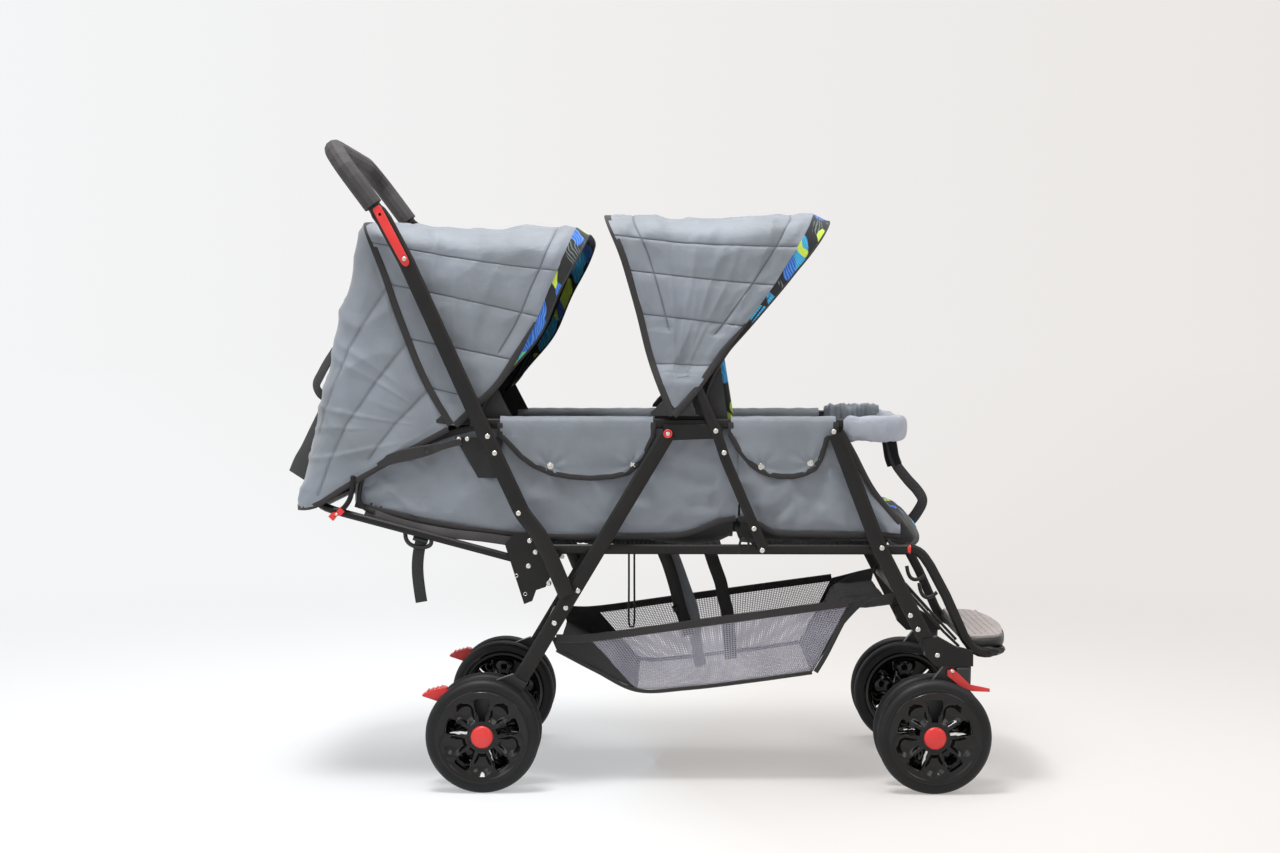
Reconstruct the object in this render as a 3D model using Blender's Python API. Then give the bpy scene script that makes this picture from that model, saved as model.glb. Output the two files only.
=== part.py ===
# Tandem double stroller, two seats in line under two canopies, on four pairs of small wheels.
# Metres, +X forward, +Y to the stroller's left, +Z up, floor at Z = 0.
import math

import bpy
from mathutils import Vector

# Overall layout, measured along X from the rear axle; the front end's points are measured from the front axle
WHEELBASE = 0.704
FOOTREST_NOSE_X = WHEELBASE + 0.138
CURTAIN_BACK_X = -0.306
REAR_AXLE_X = -(FOOTREST_NOSE_X + CURTAIN_BACK_X) / 2

# Wheels
WHEEL_RADIUS = 0.0897
WHEEL_STEPS = 25
AXLE_Z = WHEEL_RADIUS * math.cos(math.pi / WHEEL_STEPS)
TYRE_INNER_RADIUS = 0.0665
TYRE_HALF_WIDTH = 0.013
WHEEL_CLEARANCE = 0.0003
BORE_CLEARANCE = 0.00008
AXLE_RADIUS = 0.005
HUB_RADIUS = 0.017
HUB_HALF_WIDTH = 0.0125
WEB_HALF_WIDTH = 0.0045
SPOKES = 5
TWIN_HALF_GAP = 0.0305

# Layers of the side frame, as distances from the middle plane, each laid outside the one before it
LAYER_GAP = 0.0004
TUB_HALF_WIDTH = 0.1848
TUB_TO_RAIL = 0.00075
RAIL_THICK = 0.0125
RAIL_HEIGHT = 0.016
RAIL_Y = TUB_HALF_WIDTH + TUB_TO_RAIL + RAIL_THICK / 2
RAIL_TO_LEG = 0.00045
LEG_THICK = 0.012
LEG_WIDTH = 0.025
LEG_Y = RAIL_Y + RAIL_THICK / 2 + RAIL_TO_LEG + LEG_THICK / 2
LEG_TO_HANDLE = 0.0001
HANDLE_THICK = 0.013
HANDLE_WIDTH = 0.026
HANDLE_Y = LEG_Y + LEG_THICK / 2 + LEG_TO_HANDLE + HANDLE_THICK / 2
PLATE_TO_RAIL = 0.00055
PLATE_THICK = 0.003
FOOTREST_HALF_WIDTH = RAIL_Y - 0.0118
BUMPER_HALF_WIDTH = RAIL_Y - 0.0183
BASKET_HALF_WIDTH = RAIL_Y - 0.0158

# Side frame points, (X from the rear axle, Z)
REAR_LEG_TOP = (0.289, 0.560)
REAR_LEG_FOOT = (0.058, 0.174)
FRONT_LEG_TOP = (WHEELBASE - 0.152, 0.560)
FRONT_LEG_KNEE = (WHEELBASE - 0.085, 0.384)
FRONT_LEG_FOOT = (WHEELBASE - 0.001, 0.219)
SEAT_RAIL_Z = 0.377
SEAT_RAIL_REAR_X = 0.045
SEAT_RAIL_FRONT_X = WHEELBASE - 0.036
ARMREST_Z = 0.575
ARMREST_REAR_X = -0.022
ARMREST_FRONT_X = WHEELBASE - 0.140

# Handle
HANDLE_PIVOT = (0.008, 0.556)
GRIP_RADIUS = 0.0155
GRIP_BORE = 0.0112
GRIP_TUBE_RADIUS = 0.0108
GRIP_CROSS = (-0.238, 1.008)
GRIP_END = (-0.169, 0.915)

# Casters
CASTER_TRAIL = 0.048
SOCKET_BOTTOM_Z = 0.196
FORK_THICK = 0.014

# Canopies
REAR_CANOPY_PIVOT = (-0.010, 0.5885)
FRONT_CANOPY_PIVOT = (0.342, 0.5885)
HANDLE_TO_CANOPY = 0.0146
CANOPY_HALF_WIDTH = HANDLE_Y - HANDLE_THICK / 2 - HANDLE_TO_CANOPY
CANOPY_THICK = 0.0025
BOW_THICK = 0.004
BOW_WIDTH = 0.010

# Seats
TUB_THICK = 0.004
PAD_HALF_WIDTH = 0.150

SIDES = (("right", -1), ("left", 1))

for old in list(bpy.data.objects):
    bpy.data.objects.remove(old, do_unlink=True)

parts = bpy.data.collections.new("parts")
cutters = bpy.data.collections.new("cutters")
bpy.context.scene.collection.children.link(parts)
bpy.context.scene.collection.children.link(cutters)


def material(name, colour, roughness, metallic=0.0):
    mat = bpy.data.materials.new(name)
    mat.use_nodes = True
    shader = mat.node_tree.nodes["Principled BSDF"]
    shader.inputs["Base Color"].default_value = (*colour, 1.0)
    shader.inputs["Roughness"].default_value = roughness
    shader.inputs["Metallic"].default_value = metallic
    return mat


LOOKS = {
    "tyre": ((0.025, 0.025, 0.027), 0.75, 0.0),
    "rim": ((0.018, 0.018, 0.020), 0.35, 0.0),
    "red": ((0.62, 0.03, 0.04), 0.4, 0.0),
    "black_plastic": ((0.02, 0.02, 0.022), 0.5, 0.0),
    "frame": ((0.035, 0.032, 0.032), 0.45, 0.2),
    "foam": ((0.03, 0.028, 0.028), 0.9, 0.0),
    "grey_fabric": ((0.26, 0.28, 0.31), 0.85, 0.0),
    "mesh_fabric": ((0.30, 0.29, 0.34), 0.9, 0.0),
    "pad_fabric": ((0.05, 0.05, 0.055), 0.85, 0.0),
    "footrest": ((0.30, 0.27, 0.26), 0.6, 0.0),
}


def at(x, z, y=0.0):
    return Vector((REAR_AXLE_X + x, y, z))


def solid(name, verts, faces, look, location=(0, 0, 0), smooth=True):
    mesh = bpy.data.meshes.new(name)
    mesh.from_pydata([tuple(v) for v in verts], [], faces)
    obj = bpy.data.objects.new(name, mesh)
    obj.location = location
    if look is None:
        cutters.objects.link(obj)
        obj.hide_render = True
        obj.display_type = "WIRE"
    else:
        parts.objects.link(obj)
        mesh.materials.append(material(name, *LOOKS[look]))
    for poly in mesh.polygons:
        poly.use_smooth = smooth and len(poly.vertices) == 4
    return obj


def boolean(obj, cutter, operation):
    mod = obj.modifiers.new(cutter.name, "BOOLEAN")
    mod.operation = operation
    mod.solver = "EXACT"
    mod.object = cutter


def loft(name, rings, look, closed=False, location=(0, 0, 0), smooth=True):
    count = len(rings[0])
    verts = [v for ring in rings for v in ring]
    faces = []
    spans = len(rings) if closed else len(rings) - 1
    for i in range(spans):
        a = i * count
        b = (i + 1) % len(rings) * count
        for k in range(count):
            n = (k + 1) % count
            faces.append((a + k, a + n, b + n, b + k))
    if not closed:
        faces.append(tuple(reversed(range(count))))
        last = (len(rings) - 1) * count
        faces.append(tuple(last + k for k in range(count)))
    obj = solid(name, verts, faces, look, location, smooth)
    outward(obj)
    return obj


def outward(obj):
    # Turn the faces round where the signed volume comes out negative
    volume = 0.0
    mesh = obj.data
    for poly in mesh.polygons:
        first = mesh.vertices[poly.vertices[0]].co
        for k in range(1, len(poly.vertices) - 1):
            second = mesh.vertices[poly.vertices[k]].co
            third = mesh.vertices[poly.vertices[k + 1]].co
            volume += first.dot(second.cross(third))
    if volume < 0:
        mesh.flip_normals()


def prism(name, outline, y_low, y_high, look, shift=True):
    place = at if shift else (lambda x, z, y: Vector((x, y, z)))
    rings = [[place(x, z, y) for x, z in outline] for y in (y_low, y_high)]
    return loft(name, rings, look, smooth=False)


def rod(name, x, z, y_low, y_high, radius, look, steps=12):
    ring = [(x + radius * math.cos(t), z + radius * math.sin(t)) for t in turn(steps)]
    return loft(name, [[at(px, pz, y) for px, pz in ring] for y in (y_low, y_high)], look)


def turn(steps, start=0.0, sweep=2 * math.pi, ends=False):
    last = steps - 1 if ends else steps
    return [start + sweep * k / last for k in range(steps)]


def rounded(path, radius, steps=4):
    # Replace each inner corner of a path by an arc that is tangent to both legs
    done = [path[0]]
    for before, corner, after in zip(path, path[1:], path[2:]):
        back = (before - corner).normalized()
        ahead = (after - corner).normalized()
        half = back.angle(ahead) / 2
        reach = min(radius / math.tan(half), 0.48 * (before - corner).length, 0.48 * (after - corner).length)
        centre = corner + (back + ahead).normalized() * (reach / math.cos(half))
        start = corner + back * reach - centre
        end = corner + ahead * reach - centre
        for k in range(steps + 1):
            done.append(centre + start.normalized().slerp(end.normalized(), k / steps) * start.length)
    done.append(path[-1])
    return done


def tangents(path):
    result = []
    for i in range(len(path)):
        ahead = path[min(i + 1, len(path) - 1)]
        behind = path[max(i - 1, 0)]
        result.append((ahead - behind).normalized())
    return result


def section_rings(path, wide_hint, sizes, steps, squareness=0.75):
    # Oval sections along a path: the wide axis follows the hint, the thin axis is square to it
    rings = []
    for point, along, (wide, thin) in zip(path, tangents(path), sizes):
        hint = Vector(wide_hint)
        across = (hint - along * hint.dot(along)).normalized()
        beside = along.cross(across)
        ring = []
        for t in turn(steps, math.pi / steps):
            c = math.copysign(abs(math.cos(t)) ** squareness, math.cos(t))
            s = math.copysign(abs(math.sin(t)) ** squareness, math.sin(t))
            ring.append(point + across * (wide * c / 2) + beside * (thin * s / 2))
        rings.append(ring)
    return rings


def bar(name, path, wide_hint, wide, thin, look, steps=10):
    return loft(name, section_rings(path, wide_hint, [(wide, thin)] * len(path), steps), look)


def hollow_bar(name, path, wide_hint, outer, inner, look, steps=12):
    # A sleeve: the outer wall, the bore, and a ring face at each end
    out = section_rings(path, wide_hint, [(2 * outer, 2 * outer)] * len(path), steps, 1.0)
    bore = section_rings(path, wide_hint, [(2 * inner, 2 * inner)] * len(path), steps, 1.0)
    verts = [v for ring in out + bore for v in ring]
    shift = len(out) * steps
    faces = []
    for i in range(len(out) - 1):
        for k in range(steps):
            n = (k + 1) % steps
            a, b = i * steps, (i + 1) * steps
            faces.append((a + k, a + n, b + n, b + k))
            faces.append((shift + a + n, shift + a + k, shift + b + k, shift + b + n))
    last = (len(out) - 1) * steps
    for k in range(steps):
        n = (k + 1) % steps
        faces.append((k, shift + k, shift + n, n))
        faces.append((last + n, shift + last + n, shift + last + k, last + k))
    obj = solid(name, verts, faces, look)
    outward(obj)
    return obj


# Wheels


def tyre(name, centre):
    profile = [
        (TYRE_INNER_RADIUS, -0.0105),
        (0.075, -TYRE_HALF_WIDTH),
        (0.0845, -0.0112),
        (WHEEL_RADIUS, -0.0045),
        (WHEEL_RADIUS, 0.0045),
        (0.0845, 0.0112),
        (0.075, TYRE_HALF_WIDTH),
        (TYRE_INNER_RADIUS, 0.0105),
    ]
    rings = []
    for t in turn(WHEEL_STEPS, math.pi / WHEEL_STEPS - math.pi / 2):
        rings.append([Vector((r * math.cos(t), y, r * math.sin(t))) for r, y in profile])
    return loft(name, rings, "tyre", closed=True, location=centre)


def rim(name, centre):
    # One closed body: bore, hub, five open windows between flat spokes, and the flange under the tyre
    flange_inner = 0.0575
    flange_outer = TYRE_INNER_RADIUS - WHEEL_CLEARANCE
    bore = AXLE_RADIUS + BORE_CLEARANCE
    profile = [
        (bore, -HUB_HALF_WIDTH),
        (HUB_RADIUS, -HUB_HALF_WIDTH),
        (HUB_RADIUS, -WEB_HALF_WIDTH),
        (flange_inner, -WEB_HALF_WIDTH),
        (flange_inner, -0.0105),
        (flange_outer, -0.0105),
        (flange_outer, 0.0105),
        (flange_inner, 0.0105),
        (flange_inner, WEB_HALF_WIDTH),
        (HUB_RADIUS, WEB_HALF_WIDTH),
        (HUB_RADIUS, HUB_HALF_WIDTH),
        (bore, HUB_HALF_WIDTH),
    ]
    count = len(profile)
    verts = []
    for t in turn(WHEEL_STEPS, math.pi / WHEEL_STEPS - math.pi / 2):
        verts += [(r * math.cos(t), y, r * math.sin(t)) for r, y in profile]
    faces = []
    per_spoke = WHEEL_STEPS // SPOKES
    for i in range(WHEEL_STEPS):
        a = i * count
        b = (i + 1) % WHEEL_STEPS * count
        window = i % per_spoke >= 2
        for k in range(count):
            n = (k + 1) % count
            if window and k in (2, 8):
                continue
            faces.append((a + k, b + k, b + n, a + n))
        if window:
            faces.append((a + 2, b + 2, b + 9, a + 9))
            faces.append((a + 3, a + 8, b + 8, b + 3))
        if i % per_spoke == 2:
            faces.append((a + 2, a + 9, a + 8, a + 3))
        if i % per_spoke == per_spoke - 1:
            faces.append((b + 2, b + 3, b + 8, b + 9))
    obj = solid(name, verts, faces, "rim", location=centre, smooth=False)
    outward(obj)
    return obj


def hub_cap(name, centre, side):
    face = HUB_HALF_WIDTH + LAYER_GAP
    rings = []
    for radius, y in ((0.0175, face), (0.0175, face + 0.003), (0.013, face + 0.0055), (0.005, face + 0.0065)):
        rings.append([Vector((radius * math.cos(t), side * y, radius * math.sin(t))) for t in turn(14)])
    return loft(name, rings, "red", location=centre)


for end, axle_x in (("rear", 0.0), ("front", WHEELBASE)):
    for side_name, side in SIDES:
        for twin, offset in (("outer", TWIN_HALF_GAP), ("inner", -TWIN_HALF_GAP)):
            label = f"{end}_{side_name}_{twin}"
            centre = at(axle_x, AXLE_Z, side * (LEG_Y + offset))
            tyre(f"{label}_tyre", centre)
            rim(f"{label}_rim", centre)
            if twin == "outer":
                hub_cap(f"{end}_{side_name}_hub_cap", centre, side)


# Rear brackets with their brake pedals


def arc_points(x, z, radius, start, end, steps):
    return [
        (x + radius * math.cos(math.radians(t)), z + radius * math.sin(math.radians(t)))
        for t in [start + (end - start) * k / (steps - 1) for k in range(steps)]
    ]


BRAKE_PIVOT = (-0.014, 0.146)

for side_name, side in SIDES:
    y = side * LEG_Y
    outline = arc_points(0.0, AXLE_Z, 0.019, 190, 340, 7)
    outline += [(0.046, 0.128), (0.0684, 0.1670), (0.0449, 0.1810), (0.020, 0.172)]
    outline += arc_points(*BRAKE_PIVOT, 0.009, 70, 210, 5)
    bracket = prism(f"rear_{side_name}_wheel_bracket", outline, y - 0.007, y + 0.007, "black_plastic")
    reach = TWIN_HALF_GAP + HUB_HALF_WIDTH
    axle = rod(f"cut_rear_{side_name}_axle", 0.0, AXLE_Z, y - reach, y + reach, AXLE_RADIUS, None)
    boolean(bracket, axle, "UNION")

    x0, z0 = BRAKE_PIVOT
    inner, outer = 0.0074, 0.0115
    plan = [(0.008, -outer), (0.008, -inner), (-0.011, -inner), (-0.011, inner), (0.008, inner), (0.008, outer)]
    plan += [(-0.070, outer), (-0.083, 0.006), (-0.083, -0.006), (-0.070, -outer)]
    rings = []
    for z_off in (-0.003, 0.004):
        rings.append([at(x0 + px, z0 + z_off - 0.12 * min(px + 0.04, 0.0), y + py) for px, py in plan])
    loft(f"rear_{side_name}_brake_pedal", rings, "red", smooth=False)

# Front casters: fork with its stem and axle, and the swivel lock lever in front

CASTER_X = WHEELBASE + CASTER_TRAIL
STEM_RADIUS = 0.0115

for side_name, side in SIDES:
    y = side * LEG_Y
    half = FORK_THICK / 2
    outline = arc_points(WHEELBASE, AXLE_Z, 0.018, 170, 350, 8)
    outline += [(WHEELBASE + 0.040, 0.128), (CASTER_X + 0.011, 0.150), (CASTER_X + 0.012, SOCKET_BOTTOM_Z - LAYER_GAP)]
    outline += [(CASTER_X - 0.030, SOCKET_BOTTOM_Z - LAYER_GAP), (WHEELBASE - 0.004, 0.168)]
    fork = prism(f"front_{side_name}_caster_fork", outline, y - half, y + half, "black_plastic")
    reach = TWIN_HALF_GAP + HUB_HALF_WIDTH
    axle = rod(f"cut_front_{side_name}_axle", WHEELBASE, AXLE_Z, y - reach, y + reach, AXLE_RADIUS, None)
    boolean(fork, axle, "UNION")
    collar = [
        [at(CASTER_X + STEM_RADIUS * math.cos(t), z, y + STEM_RADIUS * math.sin(t)) for t in turn(12)]
        for z in (0.168, SOCKET_BOTTOM_Z - LAYER_GAP)
    ]
    boolean(fork, loft(f"cut_front_{side_name}_stem", collar, None), "UNION")

    out = side * (STEM_RADIUS + LAYER_GAP)
    blade = [(-0.026, 0.190), (-0.018, 0.193), (-0.010, 0.187), (0.010, 0.168), (0.040, 0.162), (0.040, 0.157)]
    blade += [(0.012, 0.158), (-0.006, 0.166), (-0.026, 0.182)]
    y_pair = sorted((y + out, y + out + side * 0.0045))
    prism(f"front_{side_name}_swivel_lock", [(CASTER_X + bx, bz) for bx, bz in blade], *y_pair, "red")

# Side frames


def flat(points, y):
    return [at(x, z, y) for x, z in points]


for side_name, side in SIDES:
    leg = flat([REAR_LEG_FOOT, REAR_LEG_TOP], side * LEG_Y)
    bar(f"{side_name}_rear_leg", leg, (1, 0, 0), LEG_WIDTH, LEG_THICK, "frame")

    path = rounded(flat([FRONT_LEG_FOOT, FRONT_LEG_KNEE, FRONT_LEG_TOP], side * LEG_Y), 0.12, 3)
    leg = bar(f"{side_name}_front_leg", path, (1, 0, 0), LEG_WIDTH, LEG_THICK, "frame")
    socket = [(CASTER_X + 0.015, SOCKET_BOTTOM_Z), (CASTER_X + 0.015, 0.219), (CASTER_X - 0.012, 0.226)]
    socket += [(WHEELBASE + 0.008, 0.242), (WHEELBASE - 0.016, 0.238), (WHEELBASE - 0.012, 0.212)]
    socket += [(WHEELBASE + 0.004, SOCKET_BOTTOM_Z)]
    y = side * LEG_Y
    y_pair = sorted((y - side * 0.0115, y + side * 0.0095))
    boolean(leg, prism(f"cut_{side_name}_socket", socket, *y_pair, None), "UNION")

    y = side * RAIL_Y
    rail = flat([(SEAT_RAIL_REAR_X, SEAT_RAIL_Z), (SEAT_RAIL_FRONT_X, SEAT_RAIL_Z)], y)
    bar(f"{side_name}_seat_rail", rail, (0, 0, 1), RAIL_HEIGHT, RAIL_THICK, "frame")
    rail = flat([(ARMREST_REAR_X, ARMREST_Z), (ARMREST_FRONT_X, ARMREST_Z)], y)
    bar(f"{side_name}_armrest_rail", rail, (0, 0, 1), RAIL_HEIGHT, RAIL_THICK, "frame")

    post = flat([(0.334, 0.634), (0.366, 0.560), (0.379, 0.520), (0.440, 0.3775)], side * (LEG_Y - 0.001))
    bar(f"{side_name}_canopy_post", rounded(post, 0.1, 2), (1, 0, 0), 0.017, 0.010, "frame", 8)

    plate = [(0.033, 0.385), (0.046, 0.401), (0.088, 0.409), (0.096, 0.402), (0.115, 0.340)]
    plate += [(0.104, 0.333), (0.097, 0.318), (0.082, 0.313), (0.076, 0.296), (0.063, 0.291)]
    plate_y = RAIL_Y + RAIL_THICK / 2 + PLATE_TO_RAIL
    y_pair = sorted((side * plate_y, side * (plate_y + PLATE_THICK)))
    prism(f"{side_name}_fold_plate", plate, *y_pair, "frame")

# Cross tubes between the legs
CROSS_HALF = LEG_Y - LEG_THICK / 2 - LAYER_GAP
rod("rear_cross_tube", 0.0932, 0.232, -CROSS_HALF, CROSS_HALF, 0.0075, "frame")
rod("front_cross_tube", WHEELBASE - 0.043, 0.300, -CROSS_HALF, CROSS_HALF, 0.0075, "frame")

# Hoop that carries the rear end of the lying surface
hoop = [at(0.052, 0.3605, -RAIL_Y), at(-0.264, 0.4445, -RAIL_Y), at(-0.264, 0.4445, RAIL_Y), at(0.052, 0.3605, RAIL_Y)]
bar("rear_seat_hoop", rounded(hoop, 0.045, 4), (0, 0, 1), 0.0125, 0.0125, "frame", 8)

# Handle: one bent tube with flattened lower ends, foam grip and a sliding release plate on each side

side_points = [(0.131, 0.306), (0.106, 0.366), (0.088, 0.402), (0.061, 0.437), (0.004, 0.559), (-0.118, 0.828)]
side_points += [(-0.152, 0.892), GRIP_CROSS]
half_path = flat(side_points, -HANDLE_Y)
mirrored = [Vector((p.x, -p.y, p.z)) for p in reversed(half_path)]
top_slope = (at(*GRIP_CROSS) - at(*GRIP_END)).normalized()
grip_start = at(*GRIP_END, -HANDLE_Y)
lower = rounded(half_path, 0.05, 2)[:-1]
lower += [grip_start - top_slope * 0.014, grip_start - top_slope * 0.006]
corner = rounded([half_path[-2], half_path[-1], mirrored[0], mirrored[1]], 0.062, 5)[1:-1]
upper = [Vector((p.x, -p.y, p.z)) for p in reversed(lower)]
handle_path = lower + corner + upper
handle_hint = Vector((0, 1, 0)).cross(top_slope)


def handle_size(point):
    round_now = point.z > (grip_start - top_slope * 0.010).z
    size = 2 * GRIP_TUBE_RADIUS
    return (size, size) if round_now else (HANDLE_WIDTH, HANDLE_THICK)


sizes = [handle_size(p) for p in handle_path]
loft("handle_tube", section_rings(handle_path, handle_hint, sizes, 12, 0.9), "frame")

grip_path = [grip_start] + corner + [Vector((grip_start.x, -grip_start.y, grip_start.z))]
hollow_bar("handle_grip", grip_path, handle_hint, GRIP_RADIUS, GRIP_BORE, "foam")

RELEASE_LOW = Vector((-0.1165, 0.0, 0.829))
RELEASE_HIGH = Vector((-0.1475, 0.0, 0.8965))
for side_name, side in SIDES:
    along = (RELEASE_HIGH - RELEASE_LOW).normalized()
    across = Vector((along.z, 0, -along.x))
    outline = []
    for t in turn(7, math.pi, math.pi, ends=True):
        outline.append(RELEASE_LOW + across * (0.0100 * math.cos(t)) + along * (0.0100 * math.sin(t)))
    outline += [RELEASE_HIGH + across * 0.0100, RELEASE_HIGH - across * 0.0100]
    face = HANDLE_Y + HANDLE_THICK / 2 + LAYER_GAP
    y_pair = sorted((side * face, side * (face + 0.004)))
    plate = prism(f"{side_name}_handle_release", [(p.x, p.z) for p in outline], *y_pair, "red")
    hole = RELEASE_HIGH - along * 0.013
    cutter = rod(f"cut_{side_name}_release_slot", hole.x, hole.z, y_pair[0] - 0.002, y_pair[1] + 0.002, 0.0028, None, 8)
    boolean(plate, cutter, "DIFFERENCE")

# Front footrest: bent tube hanging from the seat rails, with a plate across it

foot = [(-0.042, 0.3805), (-0.016, 0.372), (-0.001, 0.350), (0.024, 0.303), (0.054, 0.236), (0.072, 0.2125)]
foot += [(0.114, 0.2138)]
foot_side = flat([(WHEELBASE + x, z) for x, z in foot], -FOOTREST_HALF_WIDTH)
foot_path = foot_side + [Vector((p.x, -p.y, p.z)) for p in reversed(foot_side)]
foot_rings = section_rings(rounded(foot_path, 0.03, 3), (0.9, 0, 0.4), [(0.0165, 0.010)] * 200, 8)
loft("footrest_frame", foot_rings, "frame")

tray = [(0.060, 0.012), (0.096, 0.010), (0.120, 0.025), (0.134, 0.070)]
tray = [(WHEELBASE + x, inset - FOOTREST_HALF_WIDTH) for x, inset in tray] + [(FOOTREST_NOSE_X, -0.04)]
tray += [(x, -y) for x, y in reversed(tray)]
rings = [[at(x, z, y) for x, y in tray] for z in (0.2206, 0.2375)]
loft("footrest_plate", rings, "footrest", smooth=False)

# Padded bar across the front seat
plan = [(-0.151, 0.0), (-0.084, 0.0), (-0.034, 0.0235)]
plan = [(WHEELBASE + x, inset - BUMPER_HALF_WIDTH) for x, inset in plan]
plan += [(WHEELBASE - 0.028, 0.0)] + [(x, -y) for x, y in reversed(plan)]
bumper = rounded([at(x, 0.566, y) for x, y in plan], 0.05, 3)
bar("bumper_bar", bumper, (0, 0, 1), 0.050, 0.024, "grey_fabric", 10)

# Soft goods


def trough(name, stations, half_width, thick, look, rim_lip=0.0):
    # Cloth slung between the rails: a U section at each station along X, its floor and its rim set there
    rings = []
    for x, floor, top in stations:
        corner_r = min(0.035, (top - floor) * 0.6)
        outer = [(half_width, top), (half_width + 0.002, (top + floor) / 2)]
        outer += [
            (half_width - corner_r + corner_r * math.cos(t), floor + corner_r + corner_r * math.sin(t))
            for t in (0.0, -0.55, -1.1, -math.pi / 2)
        ]
        outer += [(0.0, floor - 0.004)]
        inner = [(half_width - thick - rim_lip, top), (half_width + 0.002 - thick, (top + floor) / 2 + thick / 2)]
        inner += [
            (
                half_width - corner_r + (corner_r - thick) * math.cos(t),
                floor + corner_r + (corner_r - thick) * math.sin(t),
            )
            for t in (0.0, -0.55, -1.1, -math.pi / 2)
        ]
        inner += [(0.0, floor - 0.004 + thick)]
        loop = outer + [(-y, z) for y, z in reversed(outer[:-1])]
        back = inner + [(-y, z) for y, z in reversed(inner[:-1])]
        rings.append([at(x, z, y) for y, z in loop + back[::-1]])
    return loft(name, rings, look)


rear_tub = [(-0.205, 0.464, 0.500), (-0.150, 0.452, 0.532), (-0.050, 0.428, 0.563), (0.030, 0.408, 0.576)]
rear_tub += [(0.120, 0.394, 0.576), (0.280, 0.392, 0.576), (0.372, 0.392, 0.556)]
trough("rear_seat_tub", rear_tub, TUB_HALF_WIDTH, TUB_THICK, "grey_fabric")
front_tub = [(0.384, 0.392, 0.556), (0.420, 0.392, 0.576), (WHEELBASE - 0.204, 0.392, 0.576)]
front_tub += [(WHEELBASE - 0.182, 0.392, 0.566), (WHEELBASE - 0.154, 0.394, 0.480), (WHEELBASE - 0.040, 0.398, 0.436)]
trough("front_seat_tub", front_tub, TUB_HALF_WIDTH, TUB_THICK, "grey_fabric")


def pad(name, hinge, angle, length, thick, lift, look):
    # A crowned cushion that leans from its hinge line, full in the middle and drawn in at its ends
    along = Vector((math.cos(angle), 0, math.sin(angle)))
    up = Vector((-math.sin(angle), 0, math.cos(angle)))
    if up.z < 0 or (abs(up.z) < 0.4 and up.x < 0):
        up = -up
    rings = []
    for share, fill in ((0.0, 0.55), (0.08, 0.9), (0.3, 1.0), (0.6, 1.0), (0.92, 0.9), (1.0, 0.55)):
        ring = []
        half = PAD_HALF_WIDTH * (0.93 + 0.07 * math.sin(math.pi * share))
        for t in turn(12, math.pi / 12):
            c = math.copysign(abs(math.cos(t)) ** 0.45, math.cos(t))
            s = math.copysign(abs(math.sin(t)) ** 0.7, math.sin(t))
            height = thick / 2 * (1 + fill * s)
            ring.append(at(*hinge) + along * (length * share) + up * (lift + height) + Vector((0, half * c, 0)))
        rings.append(ring)
    return loft(name, rings, look)


pad("rear_backrest", (0.020, 0.4105), math.radians(165.5), 0.212, 0.022, 0.0021, "pad_fabric")
pad("front_backrest", (0.3975, 0.3951), math.radians(99), 0.360, 0.024, 0.0, "pad_fabric")


def hood(name, pivot, chord, half_width, thick, look, lean=0.0, hub=0.024, steps=7):
    # Cloth stretched between two bows: each section is a U that stands on the pivot line
    (x1, z1), (x2, z2) = chord
    px, pz = pivot
    rings = []
    for k in range(steps):
        share = k / (steps - 1)
        x = x1 + (x2 - x1) * share
        z = z1 + (z2 - z1) * share - 0.006 * math.sin(math.pi * share)
        reach = math.hypot(x - px, z - pz)
        angle = math.atan2(z - pz, x - px)
        rings.append([])
        curves = []
        for inset in (0.0, thick):
            r_top = reach - inset
            side_y = half_width - inset
            corner_r = 0.060 - inset
            curve = [(hub, side_y), (r_top * 0.45, side_y + 0.0)]
            curve += [
                (r_top - 0.004 - corner_r + corner_r * math.sin(t), side_y - corner_r + corner_r * math.cos(t))
                for t in (0.0, 0.4, 0.8, 1.2, math.pi / 2)
            ]
            curve += [(r_top - 0.001, side_y * 0.35), (r_top, 0.0)]
            curves.append(curve + [(r, -y) for r, y in reversed(curve[:-1])])
        for r, y in curves[0] + curves[1][::-1]:
            turned = angle - lean * share * max(0.0, 1 - r / reach)
            rings[-1].append(at(px + r * math.cos(turned), pz + r * math.sin(turned), y))
    return loft(name, rings, look)


def bow(name, pivot, top, half_width, look, lean=0.0):
    # A flat hoop just under the cloth, with its two ends on the pivot line
    px, pz = pivot
    reach = math.hypot(top[0] - px, top[1] - pz)
    angle = math.atan2(top[1] - pz, top[0] - px)
    corner_r = 0.056
    curve = [(-0.003, half_width), (reach * 0.45, half_width)]
    curve += [
        (reach - 0.004 - corner_r + corner_r * math.sin(t), half_width - corner_r + corner_r * math.cos(t))
        for t in (0.0, 0.5, 1.0, math.pi / 2)
    ]
    curve += [(reach - 0.002, 0.0)]
    curve += [(r, -y) for r, y in reversed(curve[:-1])]
    path = []
    for r, y in curve:
        turned = angle - lean * max(0.0, 1 - r / reach)
        path.append(at(px + r * math.cos(turned), pz + r * math.sin(turned), y))
    hint = Vector((-math.sin(angle), 0, math.cos(angle)))
    return bar(name, path, hint, BOW_WIDTH, BOW_THICK, look, 6)


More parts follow.
